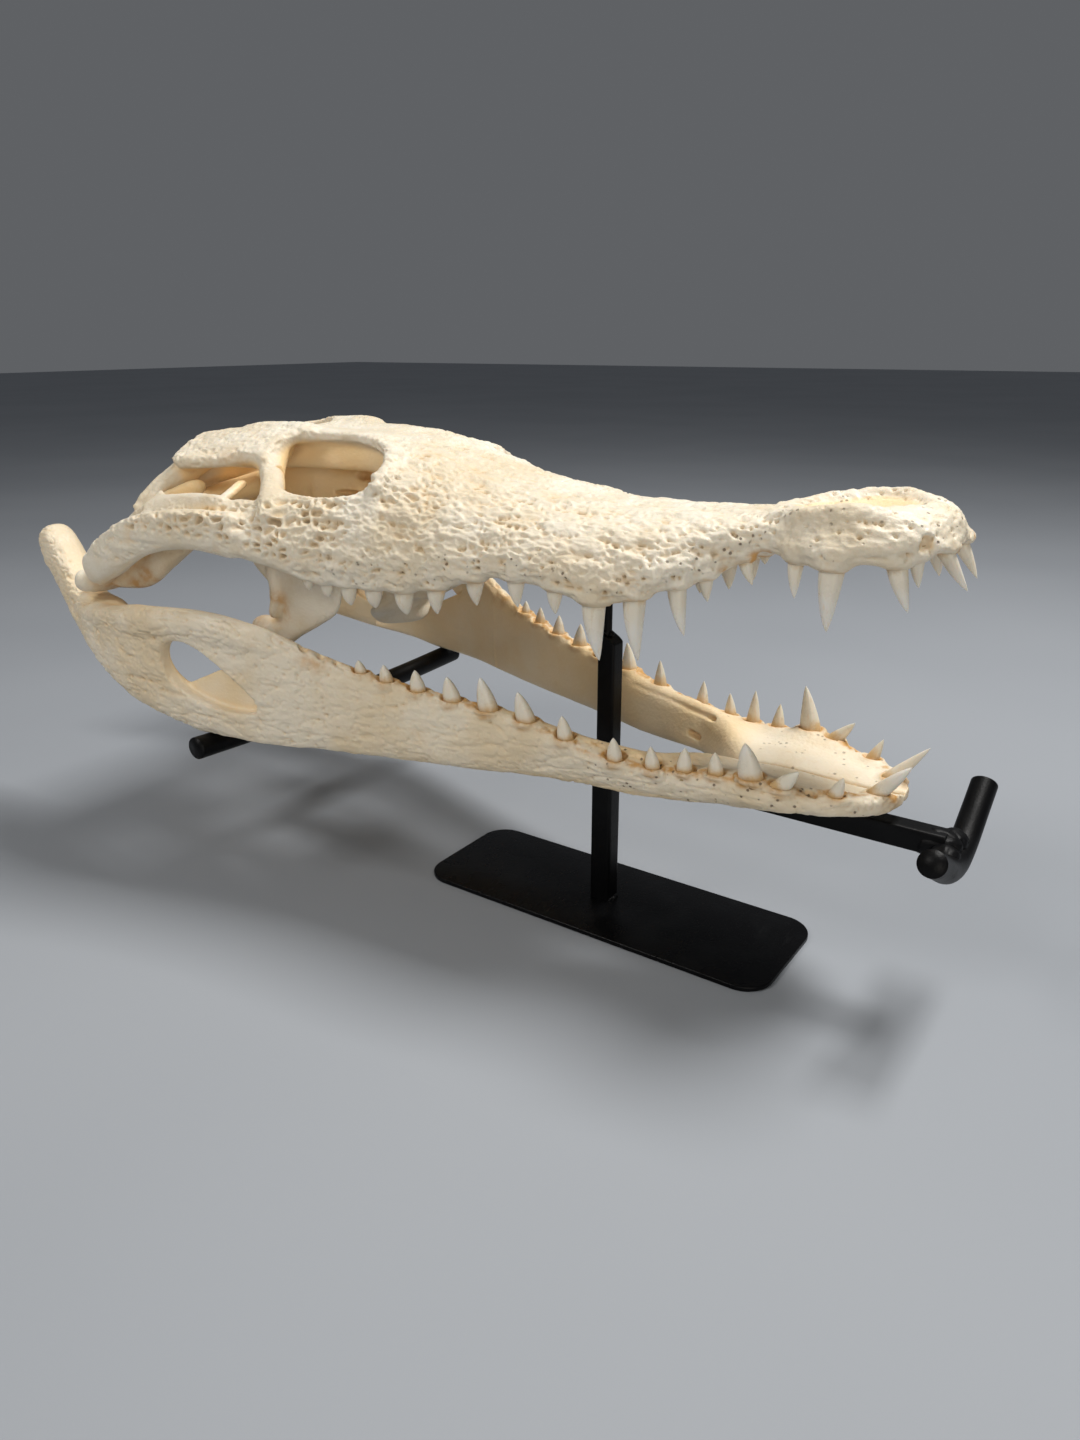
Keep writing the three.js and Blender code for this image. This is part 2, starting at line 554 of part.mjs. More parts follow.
function placeCranium() {
  const pieces = partFrame().map((piece) => {
    const box = piece.boundingBox();
    return { piece, centre: [0, 1, 2].map((k) => (box.min[k] + box.max[k]) / 2) };
  });
  for (const [name, spot] of Object.entries(framePlaces)) {
    const distance = ({ centre }) => Math.hypot(...centre.map((v, k) => v - spot[k]));
    const nearest = pieces.reduce((best, item) => (distance(item) < distance(best) ? item : best));
    place(name, nearest.piece, boneFinish);
  }
  const inside = chamber(2 * CUT, -260, 60);
  place("braincase", braincase().intersect(inside), boneFinish);
  const wings = [1, -1].flatMap((side) => [pterygoidWing(side), ectopterygoid(side)]);
  const palateCuts = join([braincase(CUT), ...[1, -1].flatMap((side) => [
    palateWindowTool(side), postorbitalColumn(side, CUT), temporalBar(side, CUT)])]);
  place("palate", join([palatineBar(), ...wings]).intersect(inside).subtract(palateCuts), boneFinish);
  for (const [side, label] of [[-1, "right"], [1, "left"]]) {
    const clear = join([squamosal(side, CUT), braincase(CUT), temporalBar(side, CUT)]);
    place(`quadrate_${label}`, quadrate(side).subtract(clear), boneFinish);
  }
}

function partJaw(side, label) {
  const body = ramus(side);
  const front = block(dentaryRearX + CUT / 2, REACH, -REACH, REACH, 0, REACH);
  const rear = block(-REACH, dentaryRearX - CUT / 2, -REACH, REACH, 0, REACH);
  place(`dentary_${label}`, body.intersect(front), boneFinish);
  place(`jaw_rear_${label}`, body.intersect(rear), boneFinish);
}

function upperRod() {
  const geometry = new THREE.CylinderGeometry(rod.radius, rod.radius, rod.top - post.top - GAP, 12);
  geometry.rotateX(Math.PI / 2);
  geometry.translate(post.x - rod.setBack, 0, (rod.top + post.top + GAP) / 2);
  return solid(geometry);
}

// Square bar from the face of the post out to one cradle.
function cradleBar(x0, x1) {
  const half = bar.side / 2;
  return block(x0, x1, -half, half, bar.z - half, bar.z + half);
}

function placeStand() {
  const plate = roundedPlate(base.length, base.width, base.cornerRadius, base.thickness);
  const face = post.side / 2 + GAP;
  place("stand_base", solid(plate), steelFinish);
  place("stand_post", postSolid(), steelFinish);
  place("stand_upper_rod", upperRod(), steelFinish);
  place("stand_bar_front", cradleBar(post.x + face, bar.front), steelFinish);
  place("stand_bar_rear", cradleBar(bar.rear, post.x - face), steelFinish);
  place("stand_front_cradle", cradle(frontCradle), steelFinish);
  place("stand_rear_cradle", cradle(rearCradle), steelFinish);
}

placeCranium();
partJaw(-1, "right");
partJaw(1, "left");
placeStand();

export default group;
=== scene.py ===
"""Crocodile skull with open jaws on its welded steel stand.

The bones are carved in signed distance volumes, measured in millimetres: smooth skins carried along
paths are joined and cut with soft blends, parted at the sutures and meshed. Relief is then pressed
into their surfaces. Teeth and stand are skins carried along paths. +X points to the snout, +Y to the
animal's left and +Z up, with the origin under the middle of the base plate.
"""

from __future__ import annotations

import logging
import math
from dataclasses import dataclass, field
from enum import Enum

import bpy
import numpy as np
import openvdb as vdb
from mathutils import Matrix

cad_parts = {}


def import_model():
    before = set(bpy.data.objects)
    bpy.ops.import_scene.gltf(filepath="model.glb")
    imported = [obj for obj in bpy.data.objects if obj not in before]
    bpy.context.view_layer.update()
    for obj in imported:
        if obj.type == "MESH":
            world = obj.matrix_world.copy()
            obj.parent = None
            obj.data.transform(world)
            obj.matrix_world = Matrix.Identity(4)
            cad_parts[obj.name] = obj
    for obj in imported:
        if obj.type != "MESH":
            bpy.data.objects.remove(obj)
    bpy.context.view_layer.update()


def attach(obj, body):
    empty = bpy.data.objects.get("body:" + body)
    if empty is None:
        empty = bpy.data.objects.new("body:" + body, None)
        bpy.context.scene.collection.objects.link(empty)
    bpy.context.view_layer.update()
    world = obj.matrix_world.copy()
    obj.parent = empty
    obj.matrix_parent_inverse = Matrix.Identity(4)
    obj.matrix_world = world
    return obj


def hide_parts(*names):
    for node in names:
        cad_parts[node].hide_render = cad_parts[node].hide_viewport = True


LOG = logging.getLogger("crocodile_skull")
MM = 0.001
VOXEL = 0.55
BAND = 6.0
SEAM_OVERLAP = 2.5
SEAM_SINK = 0.1


class Side(Enum):
    """The two sides of the animal, with the sign of their y."""

    RIGHT = -1
    LEFT = 1

    @property
    def label(self) -> str:
        """The side's word in node names."""
        return self.name.lower()


# ---------------------------------------------------------------- curves


def smoothstep(low: float, high: float, value: np.ndarray) -> np.ndarray:
    """0 at low, 1 at high, and 3t^2 - 2t^3 between; low may be the larger one.

    Args:
        low: Value that gives 0.
        high: Value that gives 1.
        value: Where to work it out.

    Returns:
        An array like value.
    """
    t = np.clip((value - low) / (high - low), 0.0, 1.0)
    return t * t * (3.0 - 2.0 * t)


class Knots:
    """A smooth value along one axis through (place, value) knots, without overshoot.

    Cubic Hermite pieces whose slope at a knot is the harmonic mean of the slopes on its two sides,
    or 0 where those differ in sign.
    """

    def __init__(self, *pairs: tuple[float, float]) -> None:
        table = np.array(sorted(pairs), float)
        self.place, self.value = table.T
        slope = np.diff(self.value) / np.diff(self.place)
        before, after = slope[:-1], slope[1:]
        total = np.where(before * after > 0, before + after, 1.0)
        inner = np.where(before * after > 0, 2.0 * before * after / total, 0.0)
        self.slope = np.concatenate([slope[:1], inner, slope[-1:]])

    def __call__(self, place: np.ndarray | float) -> np.ndarray:
        """The value at each place, held level past both ends."""
        x = np.clip(place, self.place[0], self.place[-1])
        i = np.clip(np.searchsorted(self.place, x, side="right") - 1, 0, len(self.place) - 2)
        span = self.place[i + 1] - self.place[i]
        t = (x - self.place[i]) / span
        return (
            (2 * t**3 - 3 * t**2 + 1) * self.value[i]
            + (t**3 - 2 * t**2 + t) * span * self.slope[i]
            + (3 * t**2 - 2 * t**3) * self.value[i + 1]
            + (t**3 - t**2) * span * self.slope[i + 1]
        )


def spline(points: np.ndarray, count: int, places: int = 3) -> np.ndarray:
    """Points spread evenly in parameter along a centripetal Catmull-Rom curve.

    The knot distance is the square root of the chord over the first columns, the slope at a point is
    the chord slopes weighed by those distances, and the ends are reflected.

    Args:
        points: Array (..., n, columns) that the curve passes through.
        count: How many points to give back.
        places: How many leading columns measure the chord.

    Returns:
        Array (..., count, columns).
    """
    p = np.asarray(points, float)
    first = 2 * p[..., :1, :] - p[..., 1:2, :]
    last = 2 * p[..., -1:, :] - p[..., -2:-1, :]
    p = np.concatenate([first, p, last], axis=-2)
    chord = np.linalg.norm(np.diff(p[..., :places], axis=-2), axis=-1)
    gap = np.sqrt(np.maximum(chord, 1e-6))[..., None]
    step = np.diff(p, axis=-2) / gap
    slope = (step[..., :-1, :] * gap[..., 1:, :] + step[..., 1:, :] * gap[..., :-1, :]) / (
        gap[..., :-1, :] + gap[..., 1:, :]
    )
    pieces = p.shape[-2] - 3
    u = np.linspace(0, pieces, count)
    k = np.minimum(u.astype(int), pieces - 1)
    t = (u - k)[:, None]
    a, b = np.take(p, k + 1, axis=-2), np.take(p, k + 2, axis=-2)
    span = np.take(gap, k + 1, axis=-2)
    ma, mb = np.take(slope, k, axis=-2) * span, np.take(slope, k + 1, axis=-2) * span
    return (
        (2 * t**3 - 3 * t**2 + 1) * a
        + (t**3 - 2 * t**2 + t) * ma
        + (3 * t**2 - 2 * t**3) * b
        + (t**3 - t**2) * mb
    )


def superellipse(angle: np.ndarray, power: float) -> tuple[np.ndarray, np.ndarray]:
    """The point (|cos|^(2/power), |sin|^(2/power)) with the signs of cosine and sine."""
    c, s = np.cos(angle), np.sin(angle)
    return np.sign(c) * np.abs(c) ** (2 / power), np.sign(s) * np.abs(s) ** (2 / power)


# ---------------------------------------------------------------- skins


@dataclass
class Skin:
    """A closed surface of quads and triangles, in millimetres."""

    points: np.ndarray
    quads: np.ndarray
    triangles: np.ndarray

    @staticmethod
    def over(rings: np.ndarray) -> Skin:
        """Skin over rings of points, with a fan from the middle of each end ring.

        Args:
            rings: Array (rings, around, 3).

        Returns:
            The closed skin, with its faces turned outwards.
        """
        n, m = rings.shape[:2]
        ends = rings[[0, -1]].mean(axis=1)
        points = np.concatenate([rings.reshape(-1, 3), ends])
        i, j = np.meshgrid(np.arange(n - 1), np.arange(m), indexing="ij")
        k = (j + 1) % m
        quads = np.stack([i * m + j, i * m + k, (i + 1) * m + k, (i + 1) * m + j], -1).reshape(-1, 4)
        a = np.arange(m)
        b = (a + 1) % m
        low = np.stack([np.full(m, n * m), b, a], -1)
        high = np.stack([np.full(m, n * m + 1), (n - 1) * m + a, (n - 1) * m + b], -1)
        skin = Skin(points, quads, np.concatenate([low, high]))
        if skin.volume() < 0:
            skin.quads = skin.quads[:, ::-1]
            skin.triangles = skin.triangles[:, ::-1]
        return skin

    def volume(self) -> float:
        """Signed volume: a sixth of the sum of a . (b x c) over all triangles."""
        split = [self.quads[:, [0, 1, 2]], self.quads[:, [0, 2, 3]], self.triangles]
        a, b, c = (self.points[np.concatenate(split)[:, k]] for k in range(3))
        return float(np.einsum("ij,ij->", a, np.cross(b, c)) / 6)


def sections(stops: list[tuple[float, ...]], steps: int, around: int, power: float = 2.4,
             ends: float = 0.0) -> np.ndarray:
    """Rings of a bar carried along a smooth path.

    The section at each step is a superellipse, half across along the level side of the path and half
    high along the third direction. Near each end it shrinks as sqrt(1 - u^2).

    Args:
        stops: (x, y, z, half across, half height) along the path.
        steps: Number of rings.
        around: Points in a ring.
        power: Squareness of the section.
        ends: Share of the length that each rounded end takes.

    Returns:
        Array (steps, around, 3).
    """
    path = spline(np.array(stops, float), steps)
    centre = path[:, :3]
    along = np.gradient(centre, axis=0)
    along /= np.linalg.norm(along, axis=1, keepdims=True)
    side = np.stack([-along[:, 1], along[:, 0], np.zeros(steps)], -1)
    steep = np.linalg.norm(side, axis=1) < 1e-6
    side[steep] = (0.0, 1.0, 0.0)
    side /= np.linalg.norm(side, axis=1, keepdims=True)
    up = np.cross(along, side)
    angle = 2 * math.pi * (np.arange(around) + 0.5) / around
    a, b = superellipse(angle, power)
    size = np.ones(steps)
    if ends > 0:
        t = np.linspace(0, 1, steps)
        u = np.clip(1 - np.minimum(t, 1 - t) / ends, 0, 1)
        size = np.sqrt(np.maximum(1 - u**2, 0.003))
    across = (path[:, 3] * size)[:, None, None] * a[None, :, None] * side[:, None, :]
    height = (path[:, 4] * size)[:, None, None] * b[None, :, None] * up[:, None, :]
    return centre[:, None, :] + across + height


def bar(stops: list[tuple[float, ...]], power: float = 2.4, ends: float = 0.06, around: int = 28,
        steps: int = 48) -> Skin:
    """Closed bar along a smooth path; see sections."""
    return Skin.over(sections(stops, steps, around, power, ends))


def ball(centre: tuple[float, float, float], size: tuple[float, float, float]) -> Skin:
    """Ellipsoid with half axes size: (cos u, sin u cos v, sin u sin v), moved to its centre."""
    u = np.linspace(0.02, math.pi - 0.02, 28)[:, None]
    v = np.linspace(0, 2 * math.pi, 40, endpoint=False)[None]
    rings = np.stack([np.cos(u) + 0 * v, np.sin(u) * np.cos(v), np.sin(u) * np.sin(v)], -1) * size
    return Skin.over(rings + np.array(centre))


def prism(centre: tuple[float, float, float], along: tuple[float, float, float],
          up: tuple[float, float, float], half: tuple[float, float], reach: float,
          power: float = 2.0, egg: float = 0.0) -> Skin:
    """Oval prism that cuts a window.

    Args:
        centre: Middle of the window.
        along: Direction of its long axis.
        up: Direction of its short axis.
        half: Half length and half height.
        reach: Half depth of the prism, along the third direction.
        power: Squareness of the oval.
        egg: How much the short axis shrinks towards the end of the long one.

    Returns:
        The closed prism.
    """
    a, b = superellipse(np.linspace(0, 2 * math.pi, 64, endpoint=False), power)
    u = np.array(along, float) / np.linalg.norm(along)
    v = np.array(up, float) - np.dot(up, u) * u
    v /= np.linalg.norm(v)
    w = np.cross(u, v)
    flat = half[0] * a[:, None] * u + half[1] * (b * (1 - egg * a))[:, None] * v
    depth = np.linspace(-reach, reach, 5)[:, None, None]
    return Skin.over(np.array(centre) + flat[None] + depth * w)


@dataclass(frozen=True)
class Strut:
    """A bar that both sides have: stops (x, y, z, half across, half high) and its soft crease."""

    stops: tuple[tuple[float, ...], ...]
    blend: float
    ends: float = 0.06

    def skin(self, side: Side) -> Skin:
        """The bar on one side."""
        return bar([(x, side.value * y, *rest) for x, y, *rest in self.stops], ends=self.ends)


# ---------------------------------------------------------------- distance volumes


def soft_min(a: np.ndarray, b: np.ndarray, blend: float) -> np.ndarray:
    """min(a, b) - h^2 blend / 4 with h = max(1 - |a - b| / blend, 0): a union with a soft crease."""
    if blend <= 0:
        return np.minimum(a, b)
    h = np.maximum(blend - np.abs(a - b), 0) / blend
    return np.minimum(a, b) - h * h * (blend / 4)


class Volume:
    """Signed distances in millimetres on a grid; bone is where they are negative."""

    def __init__(self, low: tuple[float, float, float], high: tuple[float, float, float]) -> None:
        self.start = np.floor(np.array(low) / VOXEL).astype(int)
        self.shape = np.ceil(np.array(high) / VOXEL).astype(int) - self.start + 1
        self.values = np.full(self.shape, BAND, np.float32)

    def level(self, skin: Skin) -> tuple[tuple[slice, ...], np.ndarray] | None:
        """Distances to a skin, on the part of the grid that they reach.

        Args:
            skin: A closed surface.

        Returns:
            The slices of the grid and the distances there, or None where the skin lies outside it.
        """
        grid = vdb.FloatGrid.createLevelSetFromPolygons(
            skin.points.astype(np.float32),
            triangles=skin.triangles.astype(np.uint32),
            quads=skin.quads.astype(np.uint32),
            transform=vdb.createLinearTransform(voxelSize=VOXEL),
            halfWidth=BAND / VOXEL,
        )
        low, high = (np.array(c) for c in grid.evalActiveVoxelBoundingBox())
        low = np.maximum(low, self.start)
        high = np.minimum(high, self.start + self.shape - 1)
        if np.any(high < low):
            return None
        block = np.full(high - low + 1, BAND, np.float32)
        grid.copyToArray(block, ijk=tuple(int(v) for v in low))
        at = low - self.start
        return tuple(slice(a, a + n) for a, n in zip(at, block.shape)), block

    def join(self, skin: Skin, blend: float = 0.0) -> None:
        """Adds a skin with a soft crease of the given width."""
        found = self.level(skin)
        if found:
            where, block = found
            self.values[where] = soft_min(self.values[where], block, blend)

    def cut(self, skin: Skin, blend: float = 0.0) -> None:
        """Takes a skin away and rounds the edge by about the given width."""
        found = self.level(skin)
        if found:
            where, block = found
            self.values[where] = -soft_min(-self.values[where], block, blend)

    def axes(self) -> tuple[np.ndarray, np.ndarray, np.ndarray]:
        """x, y and z of the grid, each shaped to spread over the other two."""
        x, y, z = (((s + np.arange(n)) * VOXEL).astype(np.float32) for s, n in zip(self.start, self.shape))
        return x[:, None, None], y[None, :, None], z[None, None, :]

    def sample(self, points: np.ndarray) -> np.ndarray:
        """Distance at each point, weighed between the eight grid values around it."""
        place = points / VOXEL - self.start
        cell = np.clip(np.floor(place).astype(int), 0, self.shape - 2)
        t = np.clip(place - cell, 0, 1)
        total = np.zeros(len(points))
        for corner in np.ndindex(2, 2, 2):
            weight = np.prod(np.where(np.array(corner) == 1, t, 1 - t), axis=1)
            i, j, k = (cell + np.array(corner)).T
            total += weight * self.values[i, j, k]
        return total

    def copy(self) -> Volume:
        """A volume with the same grid and its own values."""
        twin = Volume.__new__(Volume)
        twin.start, twin.shape, twin.values = self.start, self.shape, self.values.copy()
        return twin


def largest_part(points: np.ndarray, quads: np.ndarray) -> tuple[np.ndarray, np.ndarray]:
    """Keeps the connected part that has the most points.

    Each point takes the lowest label among its neighbours, and labels are followed to their own
    label, until nothing changes.
    """
    label = np.arange(len(points))
    edges = np.concatenate([quads[:, [0, 1]], quads[:, [1, 2]], quads[:, [2, 3]], quads[:, [3, 0]]])
    while True:
        low = np.minimum(label[edges[:, 0]], label[edges[:, 1]])
        new = label.copy()
        np.minimum.at(new, edges[:, 0], low)
        np.minimum.at(new, edges[:, 1], low)
        new = new[new]
        if np.array_equal(new, label):
            break
        label = new
    keep = label == np.bincount(label).argmax()
    index = np.cumsum(keep) - 1
    return points[keep], index[quads[keep[quads[:, 0]]]]


def meshed(values: np.ndarray, start: np.ndarray) -> tuple[np.ndarray, np.ndarray]:
    """Points in millimetres and quads of the surface where the values pass through 0."""
    reach = np.argwhere(values < 0)
    low = np.maximum(reach.min(0) - 2, 0)
    high = reach.max(0) + 3
    block = values[tuple(slice(a, b) for a, b in zip(low, high))]
    block = np.pad(block, 2, constant_values=BAND)
    grid = vdb.FloatGrid(BAND)
    grid.copyFromArray(block, ijk=tuple(int(v) for v in low + start - 2))
    grid.transform = vdb.createLinearTransform(voxelSize=VOXEL)
    points, quads = grid.convertToQuads()
    return largest_part(points.astype(float), quads.astype(int))


# ---------------------------------------------------------------- noise


def scramble(i: np.ndarray, j: np.ndarray, k: np.ndarray, seed: int) -> np.ndarray:
    """A repeatable whole number for each cell, from products and shifts of its three indices."""
    h = (i.astype(np.uint32) * np.uint32(73856093)) ^ (j.astype(np.uint32) * np.uint32(19349663))
    h ^= (k.astype(np.uint32) * np.uint32(83492791)) ^ np.uint32(seed * 2654435761 % 2**32)
    for shift in (16, 13, 16):
        h ^= h >> np.uint32(shift)
        h *= np.uint32(2246822519)
    return h ^ (h >> np.uint32(15))


def unit(h: np.ndarray) -> np.ndarray:
    """A cell's number as a share from 0 to 1."""
    return (h & np.uint32(0xFFFFFF)).astype(np.float32) / np.float32(0x1000000)


def cells(points: np.ndarray, seed: int) -> tuple[np.ndarray, np.ndarray, np.ndarray]:
    """Distances to the nearest and second nearest of points scattered one to a unit cell.

    Args:
        points: Places measured in cells, (n, 3).
        seed: Which scatter.

    Returns:
        Nearest distance, second nearest, and a random share that belongs to the nearest point.
    """
    p = points.astype(np.float32)
    home = np.floor(p).astype(np.int32)
    near = np.full(len(p), 9.0, np.float32)
    second = near.copy()
    share = np.zeros(len(p), np.float32)
    for offset in np.ndindex(3, 3, 3):
        cell = home + np.array(offset, np.int32) - 1
        h = scramble(*cell.T, seed)
        spot = np.stack([unit(h), unit(scramble(*cell.T, seed + 7)), unit(scramble(*cell.T, seed + 13))], 1)
        d = np.sqrt(((cell + 0.15 + 0.7 * spot - p) ** 2).sum(1))
        closer = d < near
        second = np.where(closer, near, np.minimum(second, d))
        share = np.where(closer, unit(h >> np.uint32(5)), share)
        near = np.where(closer, d, near)
    return near, second, share


def waves(points: np.ndarray, seed: int, octaves: int = 3) -> np.ndarray:
    """Smooth noise from -1 to 1: random values at unit cell corners, blended by smoothstep, and
    octaves of it at half the size and half the strength each."""
    total = np.zeros(len(points))
    for octave in range(octaves):
        p = points * 2**octave
        home = np.floor(p).astype(np.int32)
        t = p - home
        t = t * t * (3 - 2 * t)
        for corner in np.ndindex(2, 2, 2):
            weight = np.prod(np.where(np.array(corner) == 1, t, 1 - t), axis=1)
            value = unit(scramble(*(home + np.array(corner, np.int32)).T, seed + octave)) * 2 - 1
            total += weight * value / 2**octave
    return total


# ---------------------------------------------------------------- meshes in Blender


@dataclass
class Piece:
    """A finished mesh: points in millimetres, its faces and its values for each point."""

    name: str
    points: np.ndarray
    faces: list[np.ndarray]
    values: dict[str, np.ndarray] = field(default_factory=dict)

    def mesh(self) -> bpy.types.Mesh:
        """The Blender mesh in metres, smooth shaded, with one attribute for each set of values."""
        mesh = bpy.data.meshes.new(self.name)
        sizes = np.concatenate([np.full(len(f), f.shape[1]) for f in self.faces])
        corners = np.concatenate([f.ravel() for f in self.faces])
        mesh.vertices.add(len(self.points))
        mesh.vertices.foreach_set("co", (self.points * MM).astype(np.float32).ravel())
        mesh.loops.add(len(corners))
        mesh.loops.foreach_set("vertex_index", corners.astype(np.int32))
        mesh.polygons.add(len(sizes))
        mesh.polygons.foreach_set("loop_start", (np.cumsum(sizes) - sizes).astype(np.int32))
        mesh.update(calc_edges=True)
        mesh.shade_smooth()
        for name, values in self.values.items():
            attribute = mesh.attributes.new(name, "FLOAT", "POINT")
            attribute.data.foreach_set("value", values.astype(np.float32))
        return mesh

    def add(self, material: bpy.types.Material, slot: str, nodes: tuple[str, ...] = ()) -> None:
        """Puts the piece in the scene, riding on the one body.

        Args:
            material: Its finish.
            slot: Material slot name; not used.
            nodes: CAD nodes that it stands for.
        """
        thing = bpy.data.objects.new(self.name, self.mesh())
        thing.data.materials.append(material)
        bpy.context.scene.collection.objects.link(thing)
        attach(thing, "root")
        if nodes:
            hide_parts(*nodes)
        LOG.info("%s: %d faces", self.name, len(thing.data.polygons))


def point_normals(points: np.ndarray, quads: np.ndarray) -> np.ndarray:
    """Unit normal at each point: the sum of the crossed diagonals of the quads around it."""
    a, b, c, d = (points[quads[:, k]] for k in range(4))
    face = np.cross(c - a, d - b)
    total = np.zeros_like(points)
    for k in range(4):
        for axis in range(3):
            total[:, axis] += np.bincount(quads[:, k], face[:, axis], len(points))
    return total / np.maximum(np.linalg.norm(total, axis=1, keepdims=True), 1e-12)


# ---------------------------------------------------------------- finishes


class NodeTree:
    """Short words for laying shader nodes."""

    def __init__(self, tree: bpy.types.NodeTree) -> None:
        self.tree = tree

    def node(self, kind: str, **settings: object) -> bpy.types.Node:
        """A new node with its plain settings."""
        made = self.tree.nodes.new(kind)
        for name, value in settings.items():
            setattr(made, name, value)
        return made

    def link(self, source: bpy.types.NodeSocket, target: bpy.types.NodeSocket) -> None:
        """Joins two sockets."""
        self.tree.links.new(source, target)

    def put(self, target: bpy.types.NodeSocket, value: object) -> None:
        """Links a socket or sets a plain value."""
        if isinstance(value, bpy.types.NodeSocket):
            self.link(value, target)
        else:
            target.default_value = value

    def math(self, operation: str, a: object, b: object) -> bpy.types.NodeSocket:
        """One arithmetic step."""
        made = self.node("ShaderNodeMath", operation=operation)
        self.put(made.inputs[0], a)
        self.put(made.inputs[1], b)
        return made.outputs[0]

    def mix(self, share: object, a: object, b: object) -> bpy.types.NodeSocket:
        """A colour between two colours."""
        made = self.node("ShaderNodeMix", data_type="RGBA")
        self.put(made.inputs[0], share)
        self.put(made.inputs[6], a)
        self.put(made.inputs[7], b)
        return made.outputs[2]

    def ramp(self, value: object, low: float, high: float, to_low: float = 0.0,
             to_high: float = 1.0) -> bpy.types.NodeSocket:
        """Maps low..high to to_low..to_high, smoothly and clamped."""
        made = self.node("ShaderNodeMapRange", interpolation_type="SMOOTHSTEP")
        self.put(made.inputs["Value"], value)
        for name, number in (("From Min", low), ("From Max", high), ("To Min", to_low), ("To Max", to_high)):
            made.inputs[name].default_value = number
        return made.outputs["Result"]

    def noise(self, place: bpy.types.NodeSocket, scale: float, detail: float = 4.0,
              roughness: float = 0.55) -> bpy.types.NodeSocket:
        """Fractal noise around 0.5; scale is waves in a metre."""
        made = self.node("ShaderNodeTexNoise")
        self.link(place, made.inputs["Vector"])
        made.inputs["Scale"].default_value = scale
        made.inputs["Detail"].default_value = detail
        made.inputs["Roughness"].default_value = roughness
        return made.outputs["Fac"]

    def place(self, stretch: tuple[float, float, float] = (1.0, 1.0, 1.0)) -> bpy.types.NodeSocket:
        """Object coordinates, stretched along the axes."""
        where = self.node("ShaderNodeTexCoord")
        turn = self.node("ShaderNodeMapping")
        self.link(where.outputs["Object"], turn.inputs["Vector"])
        turn.inputs["Scale"].default_value = stretch
        return turn.outputs["Vector"]

    def value_of(self, name: str) -> bpy.types.NodeSocket:
        """A mesh attribute."""
        made = self.node("ShaderNodeAttribute", attribute_name=name)
        return made.outputs["Fac"]


def rgba(colour: tuple[float, float, float]) -> tuple[float, float, float, float]:
    """The colour with full alpha."""
    return (*colour, 1.0)


def grain_group() -> bpy.types.NodeTree:
    """Node group of fine bone grain: a colour shade and a bump height from layered noise.

    Returns:
        The group, with inputs Place, Coarse and Fine, and outputs Shade and Height.
    """
    name = "bone grain"
    if name in bpy.data.node_groups:
        return bpy.data.node_groups[name]
    group = bpy.data.node_groups.new(name, "ShaderNodeTree")
    group.interface.new_socket("Place", in_out="INPUT", socket_type="NodeSocketVector")
    for label, scale in (("Coarse", 90.0), ("Fine", 900.0)):
        socket = group.interface.new_socket(label, in_out="INPUT", socket_type="NodeSocketFloat")
        socket.default_value = scale
    group.interface.new_socket("Shade", in_out="OUTPUT", socket_type="NodeSocketFloat")
    group.interface.new_socket("Height", in_out="OUTPUT", socket_type="NodeSocketFloat")
    t = NodeTree(group)
    start, end = t.node("NodeGroupInput"), t.node("NodeGroupOutput")
    layers = []
    for label, detail in (("Coarse", 5.0), ("Fine", 3.0)):
        made = t.node("ShaderNodeTexNoise")
        t.link(start.outputs["Place"], made.inputs["Vector"])
        t.link(start.outputs[label], made.inputs["Scale"])
        made.inputs["Detail"].default_value = detail
        layers.append(made.outputs["Fac"])
    coarse, fine = layers
    t.link(t.math("ADD", t.math("MULTIPLY", coarse, 0.7), t.math("MULTIPLY", fine, 0.3)), end.inputs["Shade"])
    t.link(t.math("ADD", t.math("MULTIPLY", coarse, 0.35), t.math("MULTIPLY", fine, 0.65)),
           end.inputs["Height"])
    return group


